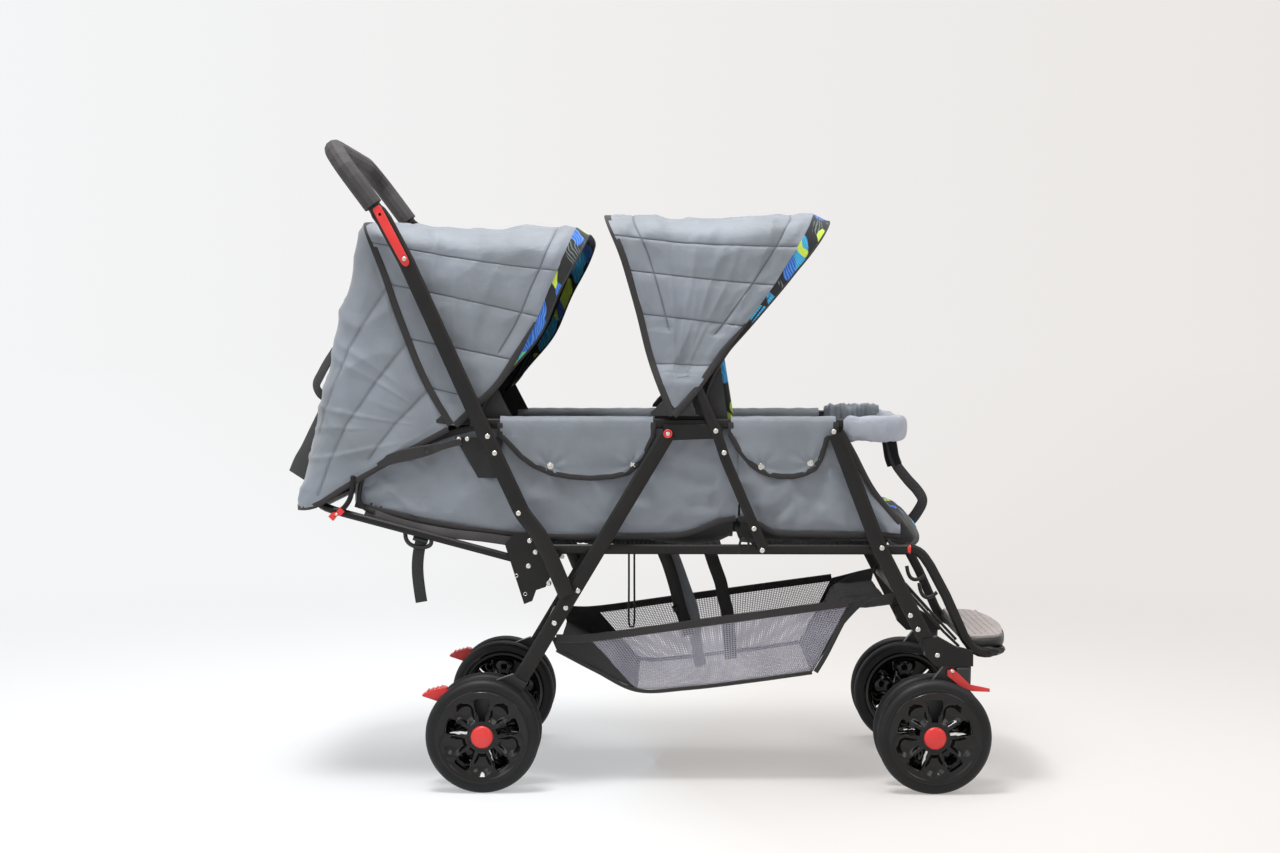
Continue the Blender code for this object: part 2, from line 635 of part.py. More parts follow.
REAR_ROOF = [(-0.184, 0.892), (0.158, 0.880)]
FRONT_ROOF = [(0.196, 0.906), (0.530, 0.902)]
BRIM_LEAN = math.radians(12)
hood("rear_canopy", REAR_CANOPY_PIVOT, REAR_ROOF, CANOPY_HALF_WIDTH, CANOPY_THICK, "grey_fabric", BRIM_LEAN)
hood("front_canopy", FRONT_CANOPY_PIVOT, FRONT_ROOF, CANOPY_HALF_WIDTH, CANOPY_THICK, "grey_fabric", BRIM_LEAN)
under = CANOPY_THICK + BOW_THICK / 2 + 0.0003
for end, pivot, roof in (("rear", REAR_CANOPY_PIVOT, REAR_ROOF), ("front", FRONT_CANOPY_PIVOT, FRONT_ROOF)):
    top = (roof[1][0] - 0.022, roof[1][1] - under - 0.0045)
    bow(f"{end}_canopy_bow", pivot, top, CANOPY_HALF_WIDTH - under - 0.0004, "frame", BRIM_LEAN * 0.9)

BACK_PANEL = [(CURTAIN_BACK_X + 0.0, 0.4475), (-0.1905, 0.8905)]
hood("rear_curtain", REAR_CANOPY_PIVOT, BACK_PANEL, CANOPY_HALF_WIDTH, CANOPY_THICK, "grey_fabric", 0.0, 0.050)

basket = [(0.1015, 0.222, 0.236), (0.150, 0.192, 0.234), (0.226, 0.154, 0.243), (0.380, 0.157, 0.262)]
basket += [(WHEELBASE - 0.184, 0.176, 0.284), (WHEELBASE - 0.114, 0.232, 0.296), (WHEELBASE - 0.051, 0.292, 0.309)]
trough("basket", basket, BASKET_HALF_WIDTH, 0.004, "mesh_fabric", 0.004)
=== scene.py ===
import fnmatch
import math
import bpy
from mathutils import Matrix, Vector, noise


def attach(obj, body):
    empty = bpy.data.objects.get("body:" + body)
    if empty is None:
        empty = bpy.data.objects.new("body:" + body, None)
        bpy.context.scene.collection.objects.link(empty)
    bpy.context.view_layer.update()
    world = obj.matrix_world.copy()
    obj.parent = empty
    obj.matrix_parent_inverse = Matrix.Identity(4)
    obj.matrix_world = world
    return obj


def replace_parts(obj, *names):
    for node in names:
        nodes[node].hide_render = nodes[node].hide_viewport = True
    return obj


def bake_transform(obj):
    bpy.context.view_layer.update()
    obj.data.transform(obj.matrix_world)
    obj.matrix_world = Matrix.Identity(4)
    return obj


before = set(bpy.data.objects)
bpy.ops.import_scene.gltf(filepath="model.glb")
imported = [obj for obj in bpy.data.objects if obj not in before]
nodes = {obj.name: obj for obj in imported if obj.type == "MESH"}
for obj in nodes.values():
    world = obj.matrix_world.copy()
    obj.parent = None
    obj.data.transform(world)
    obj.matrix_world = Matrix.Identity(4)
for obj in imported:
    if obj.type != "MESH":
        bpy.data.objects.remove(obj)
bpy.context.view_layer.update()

# Points in this file are (X from the rear axle, Z); the axle itself is at this X
REAR_AXLE_X = -0.268
SIDES = (("right", -1), ("left", 1))


def at(x, z, y=0.0):
    return Vector((REAR_AXLE_X + x, y, z))


def level(points, y):
    # A line of (x, z) points in a side plane
    return [at(x, z, y) for x, z in points]


def route(points, side=1):
    # A line of (x, z, y) points, y counted from the middle towards one side
    return [at(x, z, side * y) for x, z, y in points]


def circle(x, z, y, radius, count):
    turns = [2 * math.pi * k / count for k in range(count)]
    return [at(x + radius * math.cos(a), z + radius * math.sin(a), y) for a in turns]


def clamp(value):
    return max(0.0, min(1.0, value))


def bell(distance, width):
    # 1 at no distance, falling away smoothly over the width
    return math.exp(-((distance / width) ** 2))


# Camera, at the photograph's place and angle

CAMERA_PLACE = (0.0253, -3.4675, 0.7100)
CAMERA_LENS_MM = 58.70
CAMERA_DOWN_DEG, CAMERA_TURN_DEG = 2.44, 0.84


def set_camera():
    data = bpy.data.cameras.new("side_camera")
    data.sensor_width = 36.0
    data.lens = CAMERA_LENS_MM
    camera = bpy.data.objects.new("side_camera", data)
    bpy.context.scene.collection.objects.link(camera)
    camera.location = CAMERA_PLACE
    camera.rotation_euler = (math.radians(90 - CAMERA_DOWN_DEG), 0, math.radians(CAMERA_TURN_DEG))
    bpy.context.scene.camera = camera


set_camera()

# Finishes


def paint(code):
    # sRGB hex to linear
    parts = [int(code[k : k + 2], 16) / 255 for k in (1, 3, 5)]
    return [c / 12.92 if c <= 0.04045 else ((c + 0.055) / 1.055) ** 2.4 for c in parts] + [1.0]


def new_finish(name, base, roughness, metallic=0.0, **sockets):
    mat = bpy.data.materials.new(name)
    mat.use_nodes = True
    shader = mat.node_tree.nodes["Principled BSDF"]
    shader.inputs["Base Color"].default_value = paint(base)
    shader.inputs["Roughness"].default_value = roughness
    shader.inputs["Metallic"].default_value = metallic
    for socket, value in sockets.items():
        shader.inputs[socket.replace("_", " ")].default_value = value
    return mat, mat.node_tree, shader


def add(tree, kind, settings=None, **links):
    # One node: its properties or unlinked values in settings, its linked inputs by name
    made = tree.nodes.new("ShaderNode" + kind)
    for key, value in (settings or {}).items():
        if isinstance(key, str) and hasattr(made, key):
            setattr(made, key, value)
        else:
            made.inputs[key].default_value = value
    for key, source in links.items():
        tree.links.new(source, made.inputs[int(key[1:]) if key[1:].isdigit() else key.replace("_", " ")])
    return made


def tones(tree, shader, low, high, scale, detail=3.0, vector=None, spread=(0.35, 0.65)):
    # Slow change of colour over the surface between two tones
    where = vector or add(tree, "TexCoord").outputs["Object"]
    cloud = add(tree, "TexNoise", {"Scale": scale, "Detail": detail}, Vector=where)
    ramp = add(tree, "ValToRGB", Fac=cloud.outputs["Fac"])
    ramp.color_ramp.elements[0].position, ramp.color_ramp.elements[1].position = spread
    ramp.color_ramp.elements[0].color = paint(low)
    ramp.color_ramp.elements[1].color = paint(high)
    tree.links.new(ramp.outputs["Color"], shader.inputs["Base Color"])
    return ramp


def bumpy(tree, shader, height, strength, distance):
    bump = add(tree, "Bump", {"Strength": strength, "Distance": distance}, Height=height)
    tree.links.new(bump.outputs["Normal"], shader.inputs["Normal"])
    return bump


def powder_coat(name, low, high, roughness):
    # Powder-coated steel: a fine orange-peel skin, satin, a little browner where it is rubbed
    mat, tree, shader = new_finish(
        name, low, roughness, 0.0, Coat_Weight=0.05, Coat_Roughness=0.4, Specular_IOR_Level=0.28
    )
    where = add(tree, "TexCoord").outputs["Object"]
    tones(tree, shader, low, high, 14, 4, where)
    peel = add(tree, "TexNoise", {"Scale": 900, "Detail": 2.0}, Vector=where)
    bumpy(tree, shader, peel.outputs["Fac"], 0.25, 0.0002)
    rub = add(tree, "TexNoise", {"Scale": 40, "Detail": 5.0}, Vector=where)
    rough = add(
        tree, "MapRange", {"To Min": roughness - 0.08, "To Max": roughness + 0.12},
        Value=rub.outputs["Fac"]
    )
    tree.links.new(rough.outputs["Result"], shader.inputs["Roughness"])
    return mat


def moulded(name, low, high, roughness, grain=1400, depth=0.00012, **sockets):
    # Injection-moulded plastic: an even spark-eroded grain, the colour nearly flat
    mat, tree, shader = new_finish(name, low, roughness, 0.0, **sockets)
    where = add(tree, "TexCoord").outputs["Object"]
    tones(tree, shader, low, high, 22, 2, where)
    skin = add(tree, "TexNoise", {"Scale": grain, "Detail": 1.0}, Vector=where)
    bumpy(tree, shader, skin.outputs["Fac"], 0.2, depth)
    return mat


def woven(name, low, high, roughness, thread=0.0016, depth=0.0003, sheen=0.15, use_uv=True, rumple=0.0):
    # Woven polyester: threads about 0.3 mm apart in life, drawn at 1.6 mm so that they show
    mat, tree, shader = new_finish(name, low, roughness, 0.0, Sheen_Weight=sheen, Sheen_Roughness=0.5)
    coords = add(tree, "TexCoord")
    where = coords.outputs["UV" if use_uv else "Object"]
    ramp = tones(tree, shader, low, high, 9, 5, coords.outputs["Object"], (0.3, 0.7))
    weave = None
    for direction in "XY" if use_uv else "XYZ":
        settings = {
            "wave_type": "BANDS", "bands_direction": direction, "Scale": 0.314 / thread, "Distortion": 0.4
        }
        wave = add(tree, "TexWave", settings, Vector=where)
        weave = add(
            tree, "Math", {"operation": "ADD"}, _0=weave.outputs[0], _1=wave.outputs["Fac"]
        ) if weave else wave
    fold = add(
        tree, "TexNoise", {"Scale": 24, "Detail": 4.0, "Distortion": 1.4}, Vector=coords.outputs["Object"]
    )
    crumple = add(tree, "Math", {"operation": "MULTIPLY", 1: rumple}, _0=fold.outputs["Fac"])
    height = add(tree, "Math", {"operation": "ADD"}, _0=weave.outputs[0], _1=crumple.outputs[0])
    bumpy(tree, shader, height.outputs[0], 0.5, depth)
    return mat, tree, shader, ramp, coords


def seam_shaded(made):
    # Sewn lines from the piece's own seam attribute: painted shade darkens the cloth along the needle
    # groove
    mat, tree, shader, ramp, coords = made
    line = add(tree, "Attribute", {"attribute_name": "seam"}).outputs["Fac"]
    mix = add(tree, "Mix", {"data_type": "RGBA"})
    tree.links.new(line, mix.inputs[0])
    tree.links.new(ramp.outputs["Color"], mix.inputs[6])
    # Painted shade: the darker colour laid along the seam grooves
    mix.inputs[7].default_value = paint("#63686f")
    tree.links.new(mix.outputs[2], shader.inputs["Base Color"])
    return mat


def leaf_print(name, colours, plain=0.25):
    # Screen-printed polyester lining: soft leaf and brush shapes in blue, teal and lime on charcoal
    mat, tree, shader, ramp, coords = woven(name, "#17181b", "#222327", 0.75)
    where = coords.outputs["Object"]
    bend = add(tree, "TexNoise", {"Scale": 14, "Detail": 2.0}, Vector=where)
    moved = add(
        tree, "VectorMath", {"operation": "MULTIPLY_ADD", 1: (0.06, 0.06, 0.06)}, _0=bend.outputs["Color"]
    )
    tree.links.new(where, moved.inputs[2])
    stretch = add(
        tree, "Mapping", {"Scale": (44, 26, 15), "Rotation": (0.3, 0.75, 0.2)}, Vector=moved.outputs[0]
    )
    cells = add(tree, "TexVoronoi", {"feature": "F1", "Scale": 1.0}, Vector=stretch.outputs[0])
    split = add(tree, "SeparateColor", Color=cells.outputs["Color"])
    inks = add(tree, "ValToRGB", Fac=split.outputs[0])
    inks.color_ramp.interpolation = "CONSTANT"
    for k, (place, code) in enumerate(colours):
        stop = inks.color_ramp.elements[k] if k < 2 else inks.color_ramp.elements.new(place)
        stop.position, stop.color = place, paint(code)
    # Dry-brush streaks, about 5 mm apart, lighten the inks
    brush = add(
        tree, "TexWave",
        {"wave_type": "BANDS", "bands_direction": "X", "Scale": 2.2, "Distortion": 5.0, "Detail": 3.0},
        Vector=stretch.outputs[0]
    )
    streak = add(
        tree, "MapRange", {"From Min": 0.62, "From Max": 0.78, "To Max": 0.20}, Value=brush.outputs["Fac"]
    )
    dark = add(
        tree, "MapRange", {"From Min": plain + 0.03, "From Max": plain - 0.03, "To Max": 1.0},
        Value=split.outputs[1]
    )
    light = add(tree, "Mix", {"data_type": "RGBA"})
    tree.links.new(streak.outputs["Result"], light.inputs[0])
    tree.links.new(inks.outputs["Color"], light.inputs[6])
    light.inputs[7].default_value = paint("#d8efe8")
    edge = add(tree, "MapRange", {"From Min": 0.56, "From Max": 0.60}, Value=cells.outputs["Distance"])
    edge = add(tree, "Math", {"operation": "MAXIMUM"}, _0=edge.outputs["Result"], _1=dark.outputs["Result"])
    mix = add(tree, "Mix", {"data_type": "RGBA"})
    tree.links.new(edge.outputs[0], mix.inputs[0])
    tree.links.new(light.outputs[2], mix.inputs[6])
    mix.inputs[7].default_value = paint("#1a1b1e")
    tree.links.new(mix.outputs[2], shader.inputs["Base Color"])
    return mat


def open_mesh(name):
    # Warp-knitted polyester mesh: pale violet-grey yarn round holes, drawn 3.2 mm apart so that they show
    mat, tree, shader = new_finish(name, "#a3a1ae", 0.8, 0.0, Sheen_Weight=0.2)
    coords = add(tree, "TexCoord")
    tones(tree, shader, "#9f9dab", "#bbb9c6", 12, 4, coords.outputs["Object"])
    holes = []
    for direction in "XY":
        settings = {"wave_type": "BANDS", "bands_direction": direction, "Scale": 0.314 / 0.0032}
        holes.append(add(tree, "TexWave", settings, Vector=coords.outputs["UV"]).outputs["Fac"])
    both = add(tree, "Math", {"operation": "MULTIPLY"}, _0=holes[0], _1=holes[1])
    yarn = add(
        tree, "MapRange", {"From Min": 0.25, "From Max": 0.50, "To Min": 0.56, "To Max": 0.03},
        Value=both.outputs[0]
    )
    tree.links.new(yarn.outputs["Result"], shader.inputs["Alpha"])
    return mat


LOOKS = {
    "frame": powder_coat("satin_black_powder_coated_steel", "#110f0f", "#191716", 0.42),
    "wire": powder_coat("black_lacquered_wire", "#1c1a1a", "#2a2626", 0.35),
    "plastic": moulded("black_moulded_nylon", "#1a1a1b", "#232324", 0.42),
    "gloss": moulded(
        "gloss_black_moulded_abs", "#070606", "#0c0b0b", 0.16, 300, 0.00002, Coat_Weight=0.35,
        Coat_Roughness=0.05, Specular_IOR_Level=0.20
    ),
    "red": moulded("red_moulded_nylon", "#d62f2e", "#e23b38", 0.33),
    "foam": moulded("black_eva_foam", "#353233", "#423f40", 0.72, 700, 0.0005),
    "tyre": moulded("black_eva_tyre", "#121213", "#1a1a1c", 0.50, 500, 0.0003, Specular_IOR_Level=0.3),
    "footrest": moulded("grey_brown_moulded_polypropylene", "#9a908d", "#a69c99", 0.5, 900, 0.0003),
    "steel": moulded("zinc_plated_steel", "#c9c6c0", "#dad8d2", 0.25, 600, 0.00003, Metallic=1.0),
    # Slate cloth with painted shade along its seam grooves
    "grey": seam_shaded(woven("slate_woven_polyester", "#767c83", "#8a909a", 0.42, rumple=12.0)),
    "pale": woven("pale_slate_woven_polyester", "#999ea9", "#abb0bb", 0.45, use_uv=False, rumple=14.0)[0],
    "black": woven("black_woven_polyester", "#1a191a", "#262526", 0.72, rumple=2.0)[0],
    "trim": woven("black_polyester_binding_tape", "#201e1e", "#2b2828", 0.75, 0.0014, use_uv=False)[0],
    "strap": woven(
        "black_polypropylene_webbing", "#161617", "#232224", 0.65, 0.0022, 0.0005, use_uv=False
    )[0],
    "grey_strap": woven(
        "grey_polypropylene_webbing", "#6d7076", "#82858a", 0.65, 0.0022, 0.0005, use_uv=False
    )[0],
    "pad": woven("charcoal_quilted_polyester", "#18191b", "#232427", 0.78, use_uv=False, rumple=3.0)[0],
    "print": leaf_print(
        "leaf_printed_polyester",
        [
            (0.0, "#1a1b1e"), (0.24, "#0566cc"), (0.48, "#1a1b1e"), (0.53, "#cbe42e"), (0.66, "#14a4da"),
            (0.80, "#5fd68a"), (0.90, "#1450a8")
        ]
    ),
    "blue_print": leaf_print(
        "blue_leaf_printed_polyester",
        [(0.0, "#1a1b1e"), (0.08, "#0769d0"), (0.60, "#0553b4"), (0.78, "#1c98dc"), (0.94, "#cbe42e")],
        0.04
    ),
    "mesh": open_mesh("violet_grey_knitted_mesh"),
}

# Working helpers


def only(obj):
    bpy.ops.object.select_all(action="DESELECT")
    obj.select_set(True)
    bpy.context.view_layer.objects.active = obj


def apply_all(obj):
    only(obj)
    for mod in list(obj.modifiers):
        bpy.ops.object.modifier_apply(modifier=mod.name)


def bevelled(obj, width, segments, angle=30):
    edges = obj.modifiers.new("edges", "BEVEL")
    edges.width, edges.segments, edges.angle_limit = width, segments, math.radians(angle)
    apply_all(obj)
    return obj


def outward(obj):
    # Turn all faces outwards
    only(obj)
    bpy.ops.object.mode_set(mode="EDIT")
    bpy.ops.mesh.select_all(action="SELECT")
    bpy.ops.mesh.normals_make_consistent(inside=False)
    bpy.ops.object.mode_set(mode="OBJECT")
    return obj


def pick(obj, kind, test):
    # Select the edges or faces that pass the test, and leave the piece in edit mode
    bpy.ops.object.mode_set(mode="EDIT")
    bpy.ops.mesh.select_mode(type=kind)
    bpy.ops.mesh.select_all(action="DESELECT")
    bpy.ops.object.mode_set(mode="OBJECT")
    for part in obj.data.edges if kind == "EDGE" else obj.data.polygons:
        part.select = bool(test(part))
    bpy.ops.object.mode_set(mode="EDIT")


def settle(obj, name, look, body, angle=40):
    # Place into the mesh, shade, paint and hang the piece on its body
    only(obj)
    obj.name = name
    obj.data.name = name
    bpy.ops.object.transform_apply(location=True, rotation=True, scale=True)
    bpy.ops.object.shade_smooth_by_angle(angle=math.radians(angle))
    if look:
        obj.data.materials.clear()
        obj.data.materials.append(LOOKS[look])
    if body:
        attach(obj, body)
    return obj


def mesh_object(name, verts, faces):
    mesh = bpy.data.meshes.new(name)
    mesh.from_pydata([tuple(v) for v in verts], [], faces)
    obj = bpy.data.objects.new(name, mesh)
    bpy.context.scene.collection.objects.link(obj)
    return obj


def cube(size, place=(0, 0, 0)):
    bpy.ops.object.select_all(action="DESELECT")
    bpy.ops.mesh.primitive_cube_add(size=1, location=place, scale=size)
    made = bpy.context.view_layer.objects.active
    only(made)
    bpy.ops.object.transform_apply(location=True, rotation=True, scale=True)
    return made


def extruded(name, corners, shift, rounding, segments, angle):
    # A flat outline pushed out along the shift and rounded at its edges
    obj = mesh_object(name, corners, [tuple(range(len(corners)))])
    only(obj)
    bpy.ops.object.mode_set(mode="EDIT")
    bpy.ops.mesh.select_all(action="SELECT")
    bpy.ops.mesh.extrude_region_move(TRANSFORM_OT_translate={"value": shift})
    bpy.ops.object.mode_set(mode="OBJECT")
    return bevelled(outward(obj), rounding, segments, angle)


def skin(name, rings):
    # A closed skin over equal rings of points, capped at both ends
    n, last = len(rings[0]), len(rings) - 1
    polys = []
    for j in range(last):
        for k in range(n):
            m = (k + 1) % n
            polys.append((j * n + k, j * n + m, (j + 1) * n + m, (j + 1) * n + k))
    polys += [tuple(reversed(range(n))), tuple(last * n + k for k in range(n))]
    return outward(mesh_object(name, [p for ring in rings for p in ring], polys))


def join(name, objects):
    bpy.ops.object.select_all(action="DESELECT")
    for obj in objects:
        obj.select_set(True)
    bpy.context.view_layer.objects.active = objects[0]
    bpy.ops.object.join()
    joined = bpy.context.view_layer.objects.active
    joined.name = name
    return joined


def smooth_path(points, count):
    # Catmull-Rom through the points, evenly spaced
    pts = [Vector(p) for p in points]
    pts = [pts[0] * 2 - pts[1]] + pts + [pts[-1] * 2 - pts[-2]]
    fine = []
    for a, b, c, d in zip(pts, pts[1:], pts[2:], pts[3:]):
        for k in range(16):
            t = k / 16
            fine.append(
                0.5
                * (
                    2 * b + (c - a) * t + (2 * a - 5 * b + 4 * c - d) * t * t
                    + (3 * b - a - 3 * c + d) * t**3
                )
            )
    fine.append(pts[-2])
    return even(fine, count)


def distances(points):
    # How far along the line each of its points lies
    totals = [0.0]
    for a, b in zip(points, points[1:]):
        totals.append(totals[-1] + (b - a).length)
    return totals


def even(points, count):
    # The same line with its points evenly spaced
    lengths = distances(points)
    result = []
    k = 0
    for i in range(count):
        want = lengths[-1] * i / (count - 1)
        while k < len(points) - 2 and lengths[k + 1] < want:
            k += 1
        span = lengths[k + 1] - lengths[k]
        result.append(points[k].lerp(points[k + 1], (want - lengths[k]) / span if span else 0.0))
    return result


def directions(path):
    last = len(path) - 1
    return [(path[min(k + 1, last)] - path[max(k - 1, 0)]).normalized() for k in range(last + 1)]


def traced(points, smooth, count):
    return smooth_path(points, count or max(12, 6 * len(points))) if smooth else [Vector(p) for p in points]


def tube(name, points, radius, look, body, sides=8, smooth=True, count=None, cyclic=False):
    # A round wire or piping along a path, made as a bevelled curve
    path = traced(points, smooth, count)
    data = bpy.data.curves.new(name, "CURVE")
    data.dimensions = "3D"
    spline = data.splines.new("POLY")
    spline.points.add(len(path) - 1)
    spline.use_cyclic_u = cyclic
    for point, place in zip(spline.points, path):
        point.co = (*place, 1.0)
    data.bevel_depth = radius
    data.bevel_resolution = max(1, sides // 4)
    data.use_fill_caps = True
    obj = bpy.data.objects.new(name, data)
    bpy.context.scene.collection.objects.link(obj)
    only(obj)
    bpy.ops.object.convert(target="MESH")
    return settle(bpy.context.view_layer.objects.active, name, look, body, 60)


# Rim of a band's section, in shares of its width and thickness
BAND_RIM = [(-0.5, -0.25), (-0.5, 0.25), (-0.42, 0.5), (0.42, 0.5)]
BAND_RIM += [(-a, -b) for a, b in BAND_RIM]


def band(name, points, faces_to, width, thick, look, body, smooth=True, count=None, widths=None):
    # A flat strap or binding: its broad side looks along faces_to, its edges are rounded off
    path = traced(points, smooth, count)
    looks_to = faces_to if callable(faces_to) else (lambda t, p: Vector(faces_to))
    rings = []
    for k, (point, along) in enumerate(zip(path, directions(path))):
        t = k / (len(path) - 1)
        out = looks_to(t, point)
        out = (out - along * out.dot(along)).normalized()
        across = along.cross(out)
        wide = width * widths(t) if widths else width
        rings.append([point + across * (a * wide) + out * (b * thick) for a, b in BAND_RIM])
    return settle(skin(name, rings), name, look, body, 50)


def rivets(name, places, radius, height, look, body):
    # Domed heads: one cylinder with a rounded top edge, copied to each place and turned to its face
    heads = []
    for place, normal in places:
        bpy.ops.mesh.primitive_cylinder_add(
            vertices=16, radius=radius, depth=height, location=(0, 0, height / 2)
        )
        head = bpy.context.view_layer.objects.active
        pick(head, "FACE", lambda face: face.normal.z > 0.9)
        bpy.ops.mesh.bevel(offset=height * 0.8, segments=3)
        bpy.ops.object.mode_set(mode="OBJECT")
        turned = Vector(normal).to_track_quat("Z", "Y").to_matrix().to_4x4()
        head.matrix_world = Matrix.Translation(place) @ turned
        only(head)
        bpy.ops.object.transform_apply(location=True, rotation=True, scale=True)
        heads.append(head)
    return settle(join(name, heads), name, look, body, 50)


def face_out(rows, side):
    # Rows run the other way on the left side, so that the sheet's outer face looks outwards
    return [list(reversed(row)) for row in rows] if side > 0 else rows


def cloth(name, rows, look, body, thick=0.0012, lining=None, relief=None):
    # A sheet from rows of points: threads follow its own map in metres, then it gets its thickness
    high, wide = len(rows), len(rows[0])
    polys = [
        (i * wide + k, i * wide + k + 1, (i + 1) * wide + k + 1, (i + 1) * wide + k)
        for i in range(high - 1)
        for k in range(wide - 1)
    ]
    obj = mesh_object(name, [p for row in rows for p in row], polys)
    mesh = obj.data
    across = distances(rows[high // 2])
    down = distances([row[wide // 2] for row in rows])
    threads = mesh.uv_layers.new(name="threads")
    for loop in mesh.loops:
        i, k = divmod(loop.vertex_index, wide)
        threads.data[loop.index].uv = (across[k], down[i])
    if relief:
        normals = [v.normal.copy() for v in mesh.vertices]
        marks = mesh.attributes.new("seam", "FLOAT", "POINT")
        for v in mesh.vertices:
            i, k = divmod(v.index, wide)
            rise, seam = relief(i, k, v.co)
            v.co += normals[v.index] * rise
            marks.data[v.index].value = seam
    mesh.update()
    mod = obj.modifiers.new("thickness", "SOLIDIFY")
    mod.thickness, mod.offset, mod.use_even_offset = thick, -1.0, False
    mesh.materials.append(LOOKS[look])
    if lining:
        mod.material_offset = 1
        mesh.materials.append(LOOKS[lining])
    apply_all(obj)
    settle(obj, name, None, body, 60)
    return obj


def drawn(p, scale, seed=0.0, stretch=(1.0, 1.0, 1.0)):
    # Narrow raised folds with flat cloth between them
    return max(0.0, 1 - abs(ripple(p, scale, seed, stretch)) * 3.6) ** 1.4 - 0.25


def ripple(p, scale, seed=0.0, stretch=(1.0, 1.0, 1.0)):
    return noise.noise(
        Vector(
            (p.x * scale * stretch[0] + seed, p.y * scale * stretch[1], p.z * scale * stretch[2] - seed)
        )
    )


# Canopies: one curved sheet each, from the pivot over the roof to the other pivot
CANOPY_HALF_WIDTH = 0.196
CANOPY_CORNER = 0.055
CANOPY_DROP = 0.012


def spread(length, step, seams, close=0.0022):
    # Fractions 0 to 1 at an even step, with three lines close together at each seam
    count = max(4, int(length / step))
    values = {round(k / count, 5) for k in range(count + 1)}
    gap = close / length
    values = {v for v in values if all(abs(v - s) > gap * 1.5 for s in seams)}
    for s in seams:
        values |= {s - gap, s, s + gap}
    return sorted(v for v in values if 0 <= v <= 1)


def fraction_point(points, f):
    lengths = [0.0]
    for a, b in zip(points, points[1:]):
        lengths.append(lengths[-1] + math.dist(a, b))
    want = f * lengths[-1]
    for k in range(len(points) - 1):
        if want <= lengths[k + 1] or k == len(points) - 2:
            t = (want - lengths[k]) / (lengths[k + 1] - lengths[k])
            return Vector(
                (
                    points[k][0] + (points[k + 1][0] - points[k][0]) * t,
                    points[k][1] + (points[k + 1][1] - points[k][1]) * t
                )
            )


def side_curve(points, count=60):
    return [(p.x, p.y) for p in smooth_path([(x, z, 0) for x, z in points], count)]


def hood_section(reach, half_width, cross_seams=(), side_seams=(), step=0.0045):
    # One section, from a pivot up the side, round the corner and over the roof to the other pivot
    straight = reach - CANOPY_CORNER
    arc = CANOPY_CORNER * math.pi / 2
    flat_part = half_width - CANOPY_CORNER
    total = straight + arc + flat_part
    seams = []
    for d in (f * reach for f in side_seams):
        turn = math.asin((d - straight) / CANOPY_CORNER) if d >= straight else 0.0
        seams.append((straight + CANOPY_CORNER * turn) / total if d >= straight else d / total)
    seams += [(straight + arc + flat_part * (1 - s)) / total for s in cross_seams]
    half = []
    for q in spread(total, step, seams):
        d = q * total
        if d <= straight:
            f, y = d / reach, half_width
        elif d <= straight + arc:
            a = (d - straight) / CANOPY_CORNER
            f, y = (straight + CANOPY_CORNER * math.sin(a)) / reach, flat_part + CANOPY_CORNER * math.cos(a)
        else:
            f, y = 1.0, flat_part - (d - straight - arc)
        near = min([abs(q - s) * total for s in seams] + [1.0])
        half.append((f, y, near))
    return [(f, -y, near) for f, y, near in half] + half[-2::-1]


def tip_flare(z):
    # The front canopy's tip lies over its post
    return 0.0140 * clamp((0.672 - z) / 0.035)


def roof_drop(y, half_width, f, drop):
    # The roof falls off towards its corners
    return drop * abs(y / half_width) ** 3 * max(0.0, f - 0.75) * 4


def warped(knots, f):
    # Piecewise-straight change of a fraction, so that a row of the sheet runs along each seam
    for (a, fa), (b, fb) in zip(knots, knots[1:]):
        if f <= b or (b, fb) == knots[-1]:
            return fa + (fb - fa) * (f - a) / (b - a)


def line_distance(p, line):
    # Distance of a side-plane point from a line of points
    nearest = 1.0
    for a, b in zip(line, line[1:]):
        start, span = Vector(a), Vector((b[0] - a[0], b[1] - a[1]))
        t = clamp((p - start).dot(span) / span.length_squared)
        nearest = min(nearest, (p - start - span * t).length)
    return nearest


def hood_rows(lines, half_width, side_seams, cross_seams, margins, drop, sag, slants, step, flare):
    # The sheet's points, and for each its distances to the seams and edges and its row's length
    rear, front = side_curve(lines[0]), side_curve(lines[1])
    reach = 0.5 * sum(math.dist(a, b) for line in (rear, front) for a, b in zip(line, line[1:]))
    means = [(a + b) / 2 for a, b in side_seams]
    chord = math.dist(rear[-1], front[-1])
    places = [m / chord if m > 0 else 1 + m / chord for m in margins]
    rows, facts = [], []
    for f, y, near in hood_section(reach, half_width, cross_seams, means, step):
        row, fact = [], []
        base_local = (fraction_point(front, f) - fraction_point(rear, f)).length
        moved = [m / base_local if m > 0 else 1 + m / base_local for m in margins]
        moved = [min(0.36, m) if m < 0.5 else max(0.64, m) for m in moved]
        for s in spread(chord, step, places):
            u = warped([(0, 0)] + list(zip(places, moved)) + [(1, 1)], s) if margins else s
            knots = [(0, 0)] + [(m, a + (b - a) * u) for m, (a, b) in zip(means, side_seams)] + [(1, 1)]
            g = warped(knots, f) if f < 1 else 1.0
            a, b = fraction_point(rear, g), fraction_point(front, g)
            local = (b - a).length
            p = a.lerp(b, u)
            p.y -= roof_drop(y, half_width, f, drop)
            p.y -= sag * math.sin(math.pi * u) * max(0.0, f - 0.6) * 2.5
            long_near = min([abs(s - place) * local if f > 0.42 else 1.0 for place in places] + [1.0])
            if abs(y) > half_width - 0.06:
                long_near = min([long_near] + [line_distance(p, line) for line in slants])
            out = math.copysign(tip_flare(p.y), y) if flare and abs(y) > half_width - 0.01 else 0.0
            row.append(at(p.x, p.y, y + out))
            fact.append((near, long_near, min(u, 1 - u) * local, local))
        rows.append(row)
        facts.append(fact)
    return rows, facts


